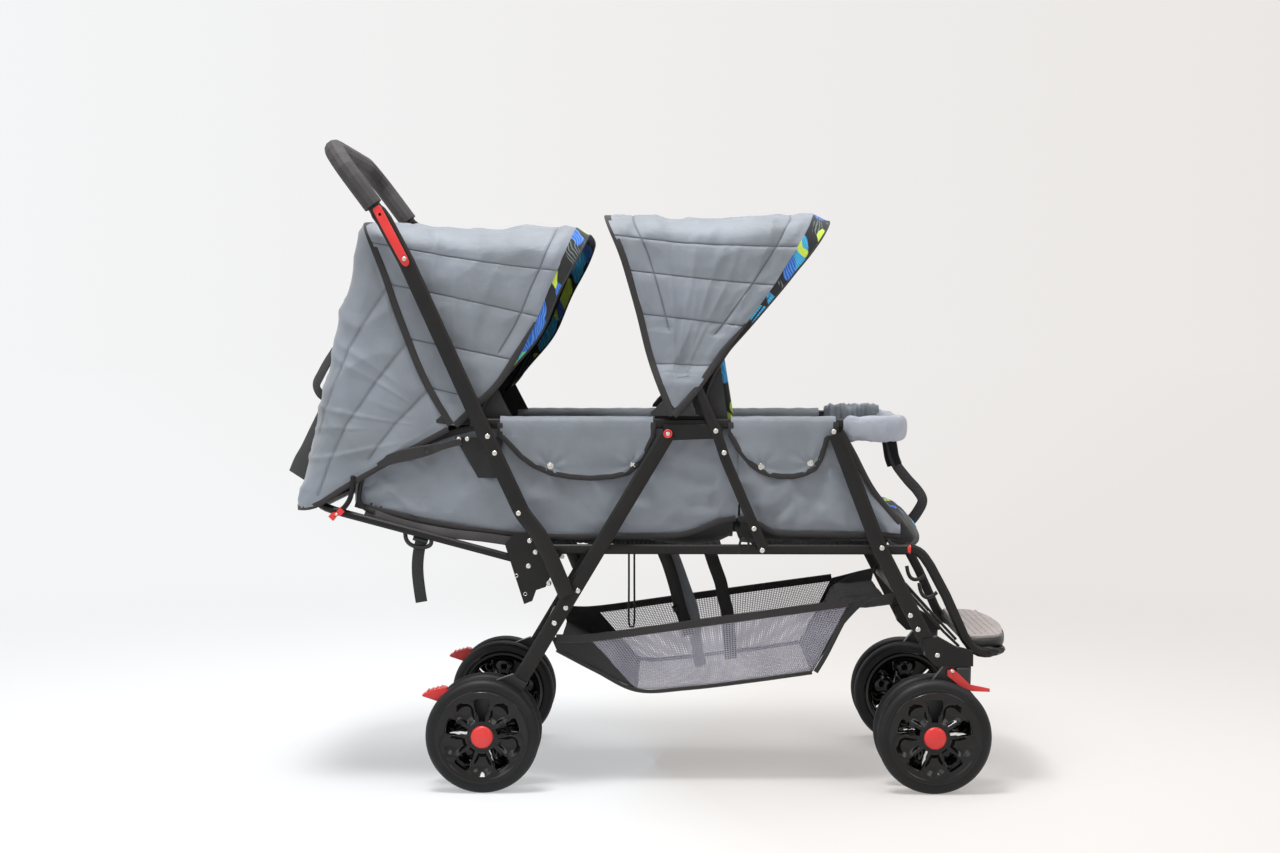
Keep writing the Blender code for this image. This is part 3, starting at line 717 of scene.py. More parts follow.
def creased(p, pivot, local, closest, seed):
    # Folds that run from the pivot, folds pulled across them, and small crumples beside the seams
    away = Vector((p.x - at(*pivot).x, p.z - pivot[1]))
    fan = Vector((math.atan2(away.y, away.x) * 2.2, p.y * 2, away.length * 1.6))
    pulled = Vector((p.x * 0.8 - p.z * 0.6, p.y * 0.6, (p.x * 0.6 + p.z * 0.8) * 0.5))
    creases = 0.40 * ripple(p, 10, seed, (0.8, 1.0, 1.5))
    creases += 0.50 * drawn(fan, 2.2, seed + 9) * clamp((away.length - 0.05) / 0.14)
    creases += 0.62 * drawn(pulled, 12, seed + 13)
    creases += 0.20 * ripple(p, 75, seed + 5, (1.0, 1.0, 0.3)) * math.exp(-closest / 0.010)
    return creases * clamp((local - 0.030) / 0.08)


def hood(
    name, lines, half_width, side_seams, cross_seams, margins, wrinkle, seed,
    drop=CANOPY_DROP, sag=0.009, slants=(), step=0.0045, flare=False
):
    # side_seams: (rear fraction, front fraction) up the side; margins: seam distances from the two edges
    rows, facts = hood_rows(
        lines, half_width, side_seams, cross_seams, margins, drop, sag, slants, step, flare
    )

    def relief(i, k, p):
        near, long_near, ends, local = facts[i][k]
        seam = max(bell(near, 0.0013), bell(long_near, 0.0020 if slants else 0.0013))
        closest = min(near, long_near)
        puff = 0.0030 * (1 - bell(closest, 0.014)) * min(1.0, ends / 0.015)
        creases = wrinkle * creased(p, lines[0][0], local, closest, seed)
        rise = (puff - 0.0016 * seam) * min(1.0, local / 0.05) + creases * min(1.0, ends / 0.012)
        return rise, min(1.0, seam)

    obj = cloth(name + "_cloth", rows, "grey", None, 0.0012, "black", relief)
    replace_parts(obj, name)
    return obj


def edge_path(line, half_width, drop=CANOPY_DROP, flare=False):
    # The line of a hood edge from one pivot over the roof to the other
    side = side_curve(line)
    reach = sum(math.dist(a, b) for a, b in zip(side, side[1:]))
    points = []
    for f, y, _ in hood_section(reach, half_width, step=0.012):
        p = fraction_point(side, f)
        p.y -= roof_drop(y, half_width, f, drop)
        points.append(at(p.x, p.y, y + math.copysign(tip_flare(p.y), y) if flare else y))
    return points


FRONT_REAR_EDGE = [
    (0.296, 0.588), (0.264, 0.672), (0.244, 0.750), (0.225, 0.817), (0.211, 0.862), (0.193, 0.907)
]
FRONT_BRIM = [
    (0.298, 0.588), (0.328, 0.622), (0.361, 0.667), (0.383, 0.697), (0.411, 0.731), (0.457, 0.795),
    (0.485, 0.844), (0.508, 0.888), (0.519, 0.911)
]
FRONT_BAND = [
    (0.300, 0.588), (0.330, 0.620), (0.364, 0.662), (0.387, 0.692), (0.418, 0.727), (0.469, 0.787),
    (0.502, 0.830), (0.528, 0.870), (0.545, 0.898)
]
REAR_REAR_EDGE = [
    (-0.052, 0.573), (-0.092, 0.643), (-0.130, 0.737), (-0.159, 0.820), (-0.174, 0.863), (-0.189, 0.896)
]
REAR_BRIM = [
    (-0.045, 0.572), (-0.006, 0.609), (0.021, 0.636), (0.042, 0.667), (0.081, 0.734), (0.102, 0.784),
    (0.128, 0.851), (0.143, 0.889)
]
REAR_BAND = [
    (-0.043, 0.572), (-0.004, 0.608), (0.023, 0.635), (0.046, 0.662), (0.089, 0.714), (0.116, 0.775),
    (0.143, 0.832), (0.163, 0.876)
]


def round_corner(t, p):
    # The way out of a hood's side, corner arc and roof
    c = clamp((abs(p.y) - CANOPY_HALF_WIDTH + CANOPY_CORNER) / CANOPY_CORNER)
    return Vector((0, math.copysign(c, p.y), math.sqrt(1 - c * c)))


BOW_LINES = {
    "front": [
        (0.3440, 0.602), (0.3560, 0.640), (0.3760, 0.679), (0.4030, 0.715), (0.4480, 0.775),
        (0.4780, 0.822), (0.5000, 0.868), (0.5080, 0.893)
    ],
    "rear": [
        (-0.0080, 0.590), (0.0000, 0.606), (0.0140, 0.628), (0.0330, 0.660), (0.0720, 0.730),
        (0.0940, 0.782), (0.1200, 0.848), (0.1340, 0.875)
    ],
}


def binding_width(t):
    # The lower binding narrows to a quarter over its upper end
    return 1 - 0.75 * max(0.0, t - 0.7) / 0.3


# Side seams as (rear fraction, front fraction) and seams beside the two edges, of each canopy
CANOPIES = {
    "front": (
        (FRONT_REAR_EDGE, FRONT_BRIM), FRONT_BAND,
        [(0.26, 0.255), (0.50, 0.455), (0.71, 0.655), (0.90, 0.85)], [0.040, -0.036], 5.0
    ),
    "rear": (
        (REAR_REAR_EDGE, REAR_BRIM), REAR_BAND,
        [(0.19, 0.16), (0.43, 0.37), (0.69, 0.58), (0.90, 0.80)], [-0.030], 11.0
    ),
}


def canopy(end, lines, band_line, side_seams, margins, seed):
    flare = end == "front"
    rear_line, brim_line = lines
    bodies = ("chassis", f"{end}_hood")
    top = hood(
        f"{end}_canopy", lines, CANOPY_HALF_WIDTH, side_seams, [0.45, 1.0], margins,
        0.0062, seed, flare=flare
    )
    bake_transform(top)

    # Printed valance beyond the grey edge, with piping along its rim
    inner = even(edge_path(brim_line, CANOPY_HALF_WIDTH - 0.001), 150)[12:-12]
    outer = even(edge_path(band_line, CANOPY_HALF_WIDTH - 0.004), 150)[12:-12]
    rows = [[a.lerp(b, t) for a, b in zip(inner, outer)] for t in (1.0, 0.75, 0.5, 0.25, 0.0)]
    brim = f"{end}_canopy_brim"
    cloth(brim, rows, "print", bodies[1], 0.0011, "print")
    tube(f"{brim}_piping", outer, 0.0016, "trim", bodies[1], 8, False)
    bow = edge_path(BOW_LINES[end], CANOPY_HALF_WIDTH - 0.0050)
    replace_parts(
        tube(f"{end}_canopy_bow_wire", bow, 0.0032, "wire", bodies[1], 10, False), f"{end}_canopy_bow"
    )

    # Bindings of the rear edge and of the lower front edge on each side
    points = edge_path(rear_line, CANOPY_HALF_WIDTH + 0.0008, flare=flare)
    band(f"{end}_canopy_rear_binding", points, round_corner, 0.0105, 0.0026, "trim", "chassis", False)
    for side_name, side in SIDES:
        over = CANOPY_HALF_WIDTH + 0.0012
        line = [at(x, z, side * (over + (tip_flare(z) if flare else 0.0))) for x, z in brim_line[:5]]
        name = f"{end}_canopy_{side_name}_lower_binding"
        piece = band(name, line, (0, side, 0), 0.0105, 0.0030, "trim", None, widths=binding_width)
        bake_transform(piece)


# Upper and lower line of the black lining between each canopy tip and the armrest rail
TIP_LININGS = {
    "front": (
        [(0.300, 0.590), (0.318, 0.612), (0.345, 0.645), (0.372, 0.664)],
        [(0.300, 0.578), (0.330, 0.578), (0.360, 0.578), (0.384, 0.578)]
    ),
    "rear": (
        [(-0.040, 0.580), (-0.012, 0.600), (0.012, 0.622), (0.022, 0.628)],
        [(-0.040, 0.572), (-0.010, 0.574), (0.025, 0.576), (0.048, 0.577)]
    ),
}


def tip_lining(end, top, low):
    pairs = list(zip(smooth_path(level(top, 0), 24), smooth_path(level(low, 0), 24)))
    for side_name, side in SIDES:
        rows = []
        for t in range(13):
            points = [
                (q.lerp(p, t / 12), side * (0.1860 + 0.0012 * math.sin(t * 0.5 + q.x * 60)))
                for p, q in pairs
            ]
            rows.append([p + Vector((0, y, 0)) for p, y in points])
        name = f"{end}_{side_name}_tip_lining"
        cloth(
            name, face_out(rows, side), "black", "chassis",
            0.0010
        )


for end, facts in CANOPIES.items():
    canopy(end, *facts)
for end, lines in TIP_LININGS.items():
    tip_lining(end, *lines)

# Curtain behind the rear seat

CURTAIN_LOWER = [
    (-0.056, 0.566), (-0.108, 0.538), (-0.163, 0.507), (-0.215, 0.477), (-0.262, 0.449), (-0.302, 0.4415)
]
CURTAIN_UPPER = [
    (-0.057, 0.571), (-0.098, 0.643), (-0.136, 0.737), (-0.164, 0.820), (-0.180, 0.863), (-0.195, 0.893)
]
# Sewn lines of the curtain's sides, from its top edge down and back to its hem
CURTAIN_SEAMS = [
    [(-0.150, 0.790), (-0.176, 0.752), (-0.212, 0.694), (-0.246, 0.612), (-0.262, 0.560)],
    [
        (-0.112, 0.712), (-0.130, 0.690), (-0.172, 0.638), (-0.196, 0.602), (-0.216, 0.575),
        (-0.245, 0.509), (-0.262, 0.462)
    ],
    [(-0.084, 0.632), (-0.102, 0.613), (-0.142, 0.572), (-0.182, 0.519)],
]


def hem_out(t, p):
    # The hem looks outwards on the sides and backwards between them
    return Vector((0, p.y, 0)) if abs(p.y) > 0.17 else Vector((-1, 0, 0))


def curtain():
    lines = (CURTAIN_LOWER, CURTAIN_UPPER)
    back = hood(
        "rear_curtain", lines, CANOPY_HALF_WIDTH - 0.0005, [], [0.30, 1.0], [],
        0.0066, 21.0, 0.004, 0.0, CURTAIN_SEAMS, 0.0038
    )
    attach(back, "chassis")
    points = edge_path(CURTAIN_LOWER, CANOPY_HALF_WIDTH, drop=0.004)
    band("rear_curtain_hem_binding", points, hem_out, 0.009, 0.0026, "trim", "chassis", False)


curtain()


# Wheels

AXLE_Z = 0.08899
LEG_Y = 0.2045
TWIN_HALF_GAP = 0.0305
FRONT_AXLE_X = 0.704
SPOKE_PITCH = 72
HUB_RADIUS = 0.0125
WEB_RINGS = (0.0178, 0.0205, 0.0235, 0.0265, 0.0300, 0.0335, 0.0370, 0.0405, 0.0440, 0.0475, 0.0505, 0.0530)
WEB_RINGS += (0.0552, 0.0575, 0.0600, 0.0635, 0.0675, 0.0712)


def spoke_turn(point):
    # Degrees round the wheel from the middle of the next window
    return math.degrees(math.atan2(point.z, point.x) - math.pi / 2) % SPOKE_PITCH


def spun(name, profile, steps):
    # A closed profile of (radius, y) spun round the Y axis
    obj = mesh_object(name, [(r, y, 0) for r, y in profile], [])
    obj.data.edges.add(len(profile))
    for k, edge in enumerate(obj.data.edges):
        edge.vertices = (k, (k + 1) % len(profile))
    only(obj)
    bpy.ops.object.mode_set(mode="EDIT")
    bpy.ops.mesh.select_all(action="SELECT")
    bpy.ops.mesh.spin(steps=steps, angle=2 * math.pi, center=(0, 0, 0), axis=(0, 1, 0))
    bpy.ops.mesh.select_all(action="SELECT")
    bpy.ops.mesh.remove_doubles(threshold=0.00002)
    bpy.ops.mesh.normals_make_consistent(inside=False)
    bpy.ops.object.mode_set(mode="OBJECT")
    return obj


def wheel_tyre():
    # Solid foam tyre: a raised ring on each shoulder and a shallow groove round the tread
    half = [
        (0.0655, 0.0), (0.0655, 0.0095), (0.0672, 0.0112), (0.0715, 0.0126), (0.0752, 0.0130),
        (0.0768, 0.0122), (0.0778, 0.0127), (0.0815, 0.0122)
    ]
    half += [
        (0.0848, 0.0104), (0.0868, 0.0082), (0.0874, 0.0070), (0.0889, 0.0052), (0.0892, 0.0024),
        (0.0884, 0.0012), (0.0884, 0.0)
    ]
    return spun("tyre", half + [(r, -y) for r, y in reversed(half[1:-1])], 96)


def in_window(face):
    # One of the five openings between the spokes, wider in its middle
    turn = spoke_turn(face.center)
    r = math.hypot(face.center.x, face.center.z)
    reach = 12.4 if 0.0320 < r < 0.0575 else 10.2
    return 0.0240 < r < 0.0603 and min(turn, SPOKE_PITCH - turn) < reach


def petal_depth(point):
    # Dished web; each spoke is a petal with a raised edge and a sunken middle
    turn = spoke_turn(point) - SPOKE_PITCH / 2
    r = math.hypot(point.x, point.z)
    outwards = (r - HUB_RADIUS) / 0.0587
    dish = 0.0048 * math.sin(math.pi * min(1.0, outwards)) + 0.0010 * outwards
    half_turn = 25.0 - 9.0 * max(0.0, 0.046 - r) / 0.024
    off = (r - 0.0435) / 0.0215
    reach = math.hypot(turn / half_turn, off) if off > 0 else max(abs(turn) / half_turn, -off)
    petal = 0.0052 / (1 + math.exp((reach - 0.64) * 11))
    ridge = 0.0024 * bell(reach - 0.95, 0.15) if r > 0.022 else 0.0
    return -0.0112 + dish + petal - ridge - 0.0030 * max(0.0, (r - 0.0600) / 0.0112) ** 1.5


def wheel_rim():
    # Moulded rim: flange, dished ring, and a web whose five open windows leave five troughed spokes
    flange = [(0.0700, 0.0126), (0.0722, 0.0133), (0.0727, 0.0140), (0.0718, 0.0146), (0.0690, 0.0145)]
    flange += [(0.0668, 0.0136), (0.0648, 0.0112), (0.0618, 0.0086), (0.0590, 0.0060), (0.0583, 0.0030)]
    barrel = spun("rim_barrel", flange + [(r, -y) for r, y in reversed(flange)], 96)
    bpy.ops.mesh.primitive_circle_add(vertices=160, radius=HUB_RADIUS, rotation=(math.pi / 2, 0, 0))
    web = bpy.context.view_layer.objects.active
    only(web)
    bpy.ops.object.transform_apply(rotation=True)
    radius = HUB_RADIUS

    def outermost(edge):
        return all(abs(web.data.vertices[v].co.length - radius) < 1e-4 for v in edge.vertices)

    for wider in WEB_RINGS:
        pick(web, "EDGE", outermost)
        bpy.ops.mesh.extrude_region_move()
        bpy.ops.transform.resize(value=(wider / radius, 1, wider / radius), center_override=(0, 0, 0))
        radius = wider
    pick(web, "FACE", in_window)
    bpy.ops.mesh.delete(type="FACE")
    bpy.ops.object.mode_set(mode="OBJECT")
    for v in web.data.vertices:
        v.co.y = petal_depth(v.co)
    wall = web.modifiers.new("wall", "SOLIDIFY")
    wall.thickness, wall.offset = 0.0045, 0.0
    bevelled(web, 0.0009, 2, 40)
    hub_side = [(0.0052, -0.0122), (0.0150, -0.0122), (0.0176, -0.0100)]
    hub = spun("rim_hub", hub_side + [(0.0176, 0.0100), (0.0160, 0.0122), (0.0052, 0.0122)], 48)
    return join("rim", [web, barrel, hub])


def hub_cap():
    # Domed red cap with a shallow rim
    half = [
        (0.0001, 0.0193), (0.0060, 0.0191), (0.0115, 0.0182), (0.0150, 0.0167), (0.0166, 0.0155),
        (0.0174, 0.0140), (0.0174, 0.0126), (0.0001, 0.0126)
    ]
    return spun("cap", half, 48)


def copy_of(model, place, mirror, turned):
    made = model.copy()
    made.data = model.data.copy()
    bpy.context.scene.collection.objects.link(made)
    facing = Matrix.Rotation(math.pi, 4, "Z") if mirror else Matrix.Identity(4)
    made.matrix_world = Matrix.Translation(place) @ facing @ Matrix.Rotation(math.radians(turned), 4, "Y")
    return made


def wheel(end, axle_x, side_name, side, twin, offset, models):
    # The rim's face looks outwards: it is modelled facing -Y, the cap facing +Y
    label = f"{end}_{side_name}_{twin}"
    place = at(axle_x, AXLE_Z, side * (LEG_Y + offset))
    turned = SPOKE_PITCH / 2 if twin == "inner" else 0
    shown = [
        ("tyre", "tyre", f"{label}_tyre", side > 0, turned),
        ("rim", "gloss", f"{label}_rim", side > 0, turned)
    ]
    if twin == "outer":
        shown.append(("cap", "red", f"{end}_{side_name}_hub_cap", side < 0, 0))
    for kind, look, node, mirror, turn in shown:
        name = f"{end}_{side_name}_cap_shape" if kind == "cap" else f"{node}_shape"
        piece = settle(copy_of(models[kind], place, mirror, turn), name, look, f"{label}_wheel", 35)
        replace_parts(piece, node)


def wheels():
    models = {"tyre": wheel_tyre(), "rim": wheel_rim(), "cap": hub_cap()}
    for end, axle_x in (("rear", 0.0), ("front", FRONT_AXLE_X)):
        for side_name, side in SIDES:
            for twin, offset in (("outer", TWIN_HALF_GAP), ("inner", -TWIN_HALF_GAP)):
                wheel(end, axle_x, side_name, side, twin, offset, models)
    for model in models.values():
        bpy.data.objects.remove(model)


wheels()

# Side cloth of both seats

RAIL_Y = 0.1918
HEM = [
    (-0.205, 0.447), (-0.188, 0.442), (-0.133, 0.429), (-0.070, 0.415), (0.031, 0.401), (0.107, 0.396),
    (0.226, 0.396), (0.301, 0.398)
]
HEM += [(0.340, 0.408), (0.373, 0.421), (0.396, 0.425)]
TOP = [
    (-0.205, 0.489), (-0.187, 0.502), (-0.140, 0.524), (-0.084, 0.548), (-0.030, 0.565), (0.030, 0.574),
    (0.120, 0.5745), (0.396, 0.5745)
]
FRONT_HEM = [
    (0.400, 0.425), (0.414, 0.423), (0.432, 0.416), (0.461, 0.402), (0.520, 0.400), (0.591, 0.399),
    (0.655, 0.399)
]
FRONT_TOP = [
    (0.400, 0.5745), (0.450, 0.5745), (0.552, 0.5745), (0.556, 0.572), (0.580, 0.530), (0.612, 0.470),
    (0.655, 0.418)
]


def curve_z(line, x):
    for (a, za), (b, zb) in zip(line, line[1:]):
        if x <= b:
            return za + (zb - za) * (x - a) / (b - a)
    return line[-1][1]


def fold(x, z, start, heading, size, wide):
    # A long soft fold that runs from a pulled point
    away = Vector((x - start[0], z - start[1]))
    along = Vector(heading).normalized()
    reach = away.dot(along)
    off = away.dot(Vector((-along.y, along.x)))
    return size * math.sin(off / wide) * bell(reach, 0.11) * bell(off, wide * 3.2) if reach > 0 else 0.0


def side_sheet(name, side, top, hem, x_start, x_end, seed, folds):
    count = int((x_end - x_start) / 0.0042)
    high = 34
    rows = []
    for j in range(high + 1):
        t = j / high
        row = []
        for k in range(count + 1):
            x = x_start + (x_end - x_start) * k / count
            z = curve_z(hem, x) + (curve_z(top, x) - curve_z(hem, x)) * t
            belly = (
                0.1822 + 0.0022 * math.sin(math.pi * min(1.0, t * 1.1))
                - 0.0035 * max(0.0, 0.12 - t) / 0.12
            )
            waves = sum(fold(x, z, *pulled) for pulled in folds)
            waves += 0.0060 * ripple(Vector((x, side, z)), 13, seed)
            waves += 0.0052 * drawn(
                Vector((x * 0.75 + z * 0.66, side, (z * 0.75 - x * 0.66) * 0.45)), 15, seed
            )
            waves += 0.0030 * ripple(
                Vector((x * 0.8 - z * 0.6, side, (x * 0.6 + z * 0.8) * 0.4)), 40, seed + 4
            )
            edge = min(1.0, min(t, 1 - t) / 0.12)
            row.append(at(x, z, side * max(0.1795, min(0.1886, belly + waves * edge))))
        rows.append(row)
    return cloth(name, face_out(rows, side), "grey", "chassis", 0.0011, "black")


FLAP_FOLD_Z = 0.556


def over_rail(x, y, z, seed):
    wave = 0.0006 * ripple(Vector((x, z, 1)), 55, seed)
    return y + wave, z + wave * 1.6


def below_rail(x, t, low, side, seed, snaps):
    # The free part of a flap hangs against the side cloth and puckers round its snaps
    z = FLAP_FOLD_Z + (low - FLAP_FOLD_Z) * t
    drop = max(0.0, (FLAP_FOLD_Z - z) / 0.06)
    y = 0.1962 - 0.0062 * min(1.0, drop * 1.2)
    for sx, sz in snaps:
        away = math.dist((x, z), (sx, sz))
        y -= 0.0022 * bell(away, 0.012)
        y += (
            0.0019 * math.sin(math.atan2(z - sz, x - sx) * 7 + seed) * bell(away, 0.030)
            * min(1.0, away / 0.01)
        )
    y += 0.0030 * ripple(Vector((x, z, side)), 22, seed) * min(1.0, t * 3) * min(1.0, (1 - t) * 6 + 0.2)
    return max(y, 0.1886), z


def flap(name, side, outline, x_start, x_end, seed, snaps, inner_low):
    # The lining turned over the armrest rail and snapped to the side cloth
    count = int((x_end - x_start) / 0.0035)
    section = [(0.1756, inner_low), (0.1760, (inner_low + 0.572) / 2), (0.1764, 0.572), (0.1800, 0.5785)]
    section += [(0.1846, 0.5835), (0.1885, 0.5855), (0.1935, 0.5858), (0.1972, 0.5838), (0.1990, 0.577)]
    section += [(0.1988, 0.567), (0.1962, FLAP_FOLD_Z)]
    low_steps = 22
    columns = [x_start + (x_end - x_start) * k / count for k in range(count + 1)]
    places = [[(x, *over_rail(x, y, z, seed)) for x in columns] for y, z in section]
    for j in range(1, low_steps + 1):
        t = j / low_steps
        places.append([(x, *below_rail(x, t, curve_z(outline, x), side, seed, snaps)) for x in columns])
    rows = face_out([[at(x, z, side * y) for x, y, z in row] for row in places], side)
    cloth(name, rows, "grey", "chassis", 0.0010)
    edge = [Vector((p.x, p.y + side * 0.0004, p.z)) for p in rows[-1]]
    rise = [Vector((0, side * 0.0002, dz)) for dz in (0.022, 0.015, 0.008)]
    tops = [0.1985, 0.1995, 0.1975]
    first = [Vector((edge[0].x, side * y, edge[0].z)) + r for r, y in zip(rise, tops)]
    final = [Vector((edge[-1].x, side * y, edge[-1].z)) + r for r, y in zip(reversed(rise), reversed(tops))]
    edge = first + edge[:: max(1, len(edge) // 40)] + final
    band(name + "_binding", edge, (0, side, 0), 0.0085, 0.0026, "trim", "chassis", False)
    for kind, y, radius, height in (
        ("snaps", 0.1896, 0.0058, 0.0024), ("snap_studs", 0.1912, 0.0022, 0.0018)
    ):
        heads = [(at(sx, sz, side * y), (0, side, 0)) for sx, sz in snaps]
        rivets(f"{name}_{kind}", heads, radius, height, "steel", "chassis")


FLAP_REAR = [
    (0.026, 0.556), (0.032, 0.552), (0.045, 0.538), (0.057, 0.524), (0.079, 0.508), (0.104, 0.497),
    (0.135, 0.491), (0.167, 0.489), (0.200, 0.491), (0.226, 0.497), (0.242, 0.511), (0.252, 0.525),
    (0.262, 0.548), (0.266, 0.555)
]
FLAP_FRONT = [
    (0.388, 0.556), (0.392, 0.549), (0.400, 0.535), (0.419, 0.512), (0.434, 0.501), (0.448, 0.495),
    (0.467, 0.492), (0.486, 0.492), (0.504, 0.496), (0.520, 0.504), (0.530, 0.522), (0.536, 0.545),
    (0.539, 0.555), (0.552, 0.556)
]


# Long folds of the side cloth: start, heading, depth and width
REAR_FOLDS = [
    ((0.36, 0.47), (-1.0, 0.35), 0.0056, 0.010), ((0.372, 0.44), (-1.0, 0.05), 0.0052, 0.008),
    ((-0.19, 0.45), (1.0, 0.3), 0.0046, 0.009), ((0.02, 0.56), (0.2, -1.0), 0.0040, 0.012),
    ((0.30, 0.41), (-0.9, 0.6), 0.0044, 0.011)
]
FRONT_FOLDS = [
    ((0.44, 0.43), (0.8, 0.75), 0.0060, 0.009), ((0.47, 0.405), (0.6, 0.9), 0.0030, 0.008),
    ((0.53, 0.50), (0.2, -1.0), 0.0044, 0.011)
]
HEM_Y, EDGE_Y = 0.1838, 0.1846


def seat_cloth():
    for name, side in SIDES:
        side_sheet(f"rear_{name}_side_cloth", side, TOP, HEM, -0.205, 0.403, 3.0 + side, REAR_FOLDS)
        side_sheet(
            f"front_{name}_side_cloth", side, FRONT_TOP, FRONT_HEM, 0.400, 0.655, 7.0 + side, FRONT_FOLDS
        )
        snaps = [(0.104, 0.508), (0.235, 0.510)]
        flap(f"rear_{name}_flap", side, FLAP_REAR, 0.026, 0.266, 2.0 + side, snaps, 0.564)
        snaps = [(0.436, 0.507), (0.513, 0.513)]
        flap(f"front_{name}_flap", side, FLAP_FRONT, 0.388, 0.552, 6.0 + side, snaps, 0.530)
        for label, line, y, width, thick in (
            (f"rear_{name}_hem", HEM, HEM_Y, 0.009, 0.0030),
            (f"front_{name}_hem", FRONT_HEM, HEM_Y, 0.009, 0.0030),
            (f"front_{name}_edge", FRONT_TOP[2:], EDGE_Y, 0.009, 0.0026),
            (f"rear_{name}_edge", TOP[:6], EDGE_Y, 0.010, 0.0026),
        ):
            band(f"{label}_binding", level(line, side * y), (0, side, 0), width, thick, "trim", "chassis")


seat_cloth()

# Seat linings: black cloth tubs slung between the rails, a footwell in front of the rear seat

REAR_LINING_FLOOR = [
    (-0.203, 0.449), (-0.150, 0.434), (-0.070, 0.4145), (0.020, 0.3975), (0.110, 0.395), (0.215, 0.391),
    (0.258, 0.384), (0.292, 0.379), (0.330, 0.377), (0.362, 0.381), (0.386, 0.394)
]
FRONT_LINING_FLOOR = [(0.403, 0.386), (0.440, 0.383), (0.600, 0.383), (0.668, 0.388)]
LINING_HALF_WIDTH = 0.1772


def seat_lining(end, top, floor, x_start, x_end, sag, seed):
    count = int((x_end - x_start) / 0.006)
    wall = LINING_HALF_WIDTH
    rows = []
    for k in range(count + 1):
        x = x_start + (x_end - x_start) * k / count
        high, low = curve_z(top, x) - 0.002, curve_z(floor, x)
        corner = min(0.034, (high - low) * 0.7)
        half = [Vector((-wall, high, 0)), Vector((-wall, low + corner, 0))]
        for a in range(1, 7):
            turn = a * math.pi / 12
            half.append(
                Vector((-wall + corner * (1 - math.cos(turn)), low + corner * (1 - math.sin(turn)), 0))
            )
        half += [Vector((-0.06, low - sag * 0.8, 0)), Vector((0.0, low - sag, 0))]
        row = []
        for p in even(half + [Vector((-p.x, p.y, 0)) for p in reversed(half[:-1])], 90):
            place = Vector((x, p.x, p.y))
            wave = 0.0022 * ripple(place, 18, seed) + 0.0010 * ripple(place, 50, seed)
            inward = min(1.0, (high - p.y) / 0.02)
            y = p.x - math.copysign(abs(wave) * inward, p.x) if abs(p.x) > 0.17 else p.x
            row.append(at(x, p.y + (wave if abs(p.x) < 0.165 else 0.0), y))
        rows.append(row)
    lining = cloth(f"{end}_seat_lining", rows, "black", "chassis", 0.0012)
    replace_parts(lining, f"{end}_seat_tub")
    for side_name, side in SIDES:
        # Gathered elastic edge under the side cloth
        places = [x_start + 0.02 + (x_end - x_start - 0.04) * k / 60 for k in range(61)]
        line = smooth_path([at(x, curve_z(floor, x) - 0.001, side * 0.1768) for x in places], 240)
        line = [
            p + Vector((0, side * 0.0018 * math.sin(k * 2.1), 0.0008 * math.sin(k * 1.3)))
            for k, p in enumerate(line)
        ]
        name = f"{end}_{side_name}_gathered_edge"
        band(name, line, (0, side, 0), 0.014, 0.004, "black", "chassis", False)


def swell(obj, cap, voxel=0.006, pressure=4.0):
    # Pad filling: the closed form is remeshed evenly and blown up, each point held within cap
    remesh = obj.modifiers.new("even_mesh", "REMESH")
    remesh.mode, remesh.voxel_size = "VOXEL", voxel
    apply_all(obj)
    start = [v.co.copy() for v in obj.data.vertices]
    filling = obj.modifiers.new("filling", "CLOTH")
    filling.settings.use_pressure = True
    filling.settings.uniform_pressure_force = pressure
    filling.settings.effector_weights.gravity = 0.0
    filling.settings.quality = 4
    filling.point_cache.frame_end = 20
    for step in range(1, 21):
        bpy.context.scene.frame_set(step)
    shaped = obj.evaluated_get(bpy.context.evaluated_depsgraph_get())
    blown = [v.co.copy() for v in shaped.data.vertices]
    obj.modifiers.remove(filling)
    bpy.context.scene.frame_set(1)
    for v, a, b in zip(obj.data.vertices, start, blown):
        move = b - a
        v.co = a + (move if move.length < cap else move.normalized() * cap)
    finish = obj.modifiers.new("finish", "SUBSURF")
    finish.levels = finish.render_levels = 1
    apply_all(obj)


def pad_form(length, half_width, thick, corner, narrow=0.0):
    # A flat form with rounded plan corners: length along X from 0, thickness along Z
    pad = cube((length, 2 * half_width, thick), (length / 2, 0, 0))
    for v in pad.data.vertices:
        v.co.y *= 1 - narrow * v.co.x / length

    def heights(edge):
        return (pad.data.vertices[i].co.z for i in edge.vertices)

    def upright(edge):
        a, b = heights(edge)
        return abs(a - b) > thick * 0.5

    def rim(edge):
        a, b = heights(edge)
        return abs(a - b) < 1e-6 and abs(a) > thick * 0.49

    for chosen, width, steps in ((upright, corner, 5), (rim, thick * 0.40, 3)):
        pick(pad, "EDGE", chosen)
        bpy.ops.mesh.bevel(offset=width, segments=steps, affect="EDGES")
        bpy.ops.object.mode_set(mode="OBJECT")
    return pad


def groove(pad, channels, depth, width):
    # Sewn channels: the pad is pulled in along each line, on its front face most
    for v in pad.data.vertices:
        near = min(abs((v.co.x if kind == "x" else abs(v.co.y)) - place) for kind, place in channels)
        v.co.z *= 1 - depth * bell(near, width)


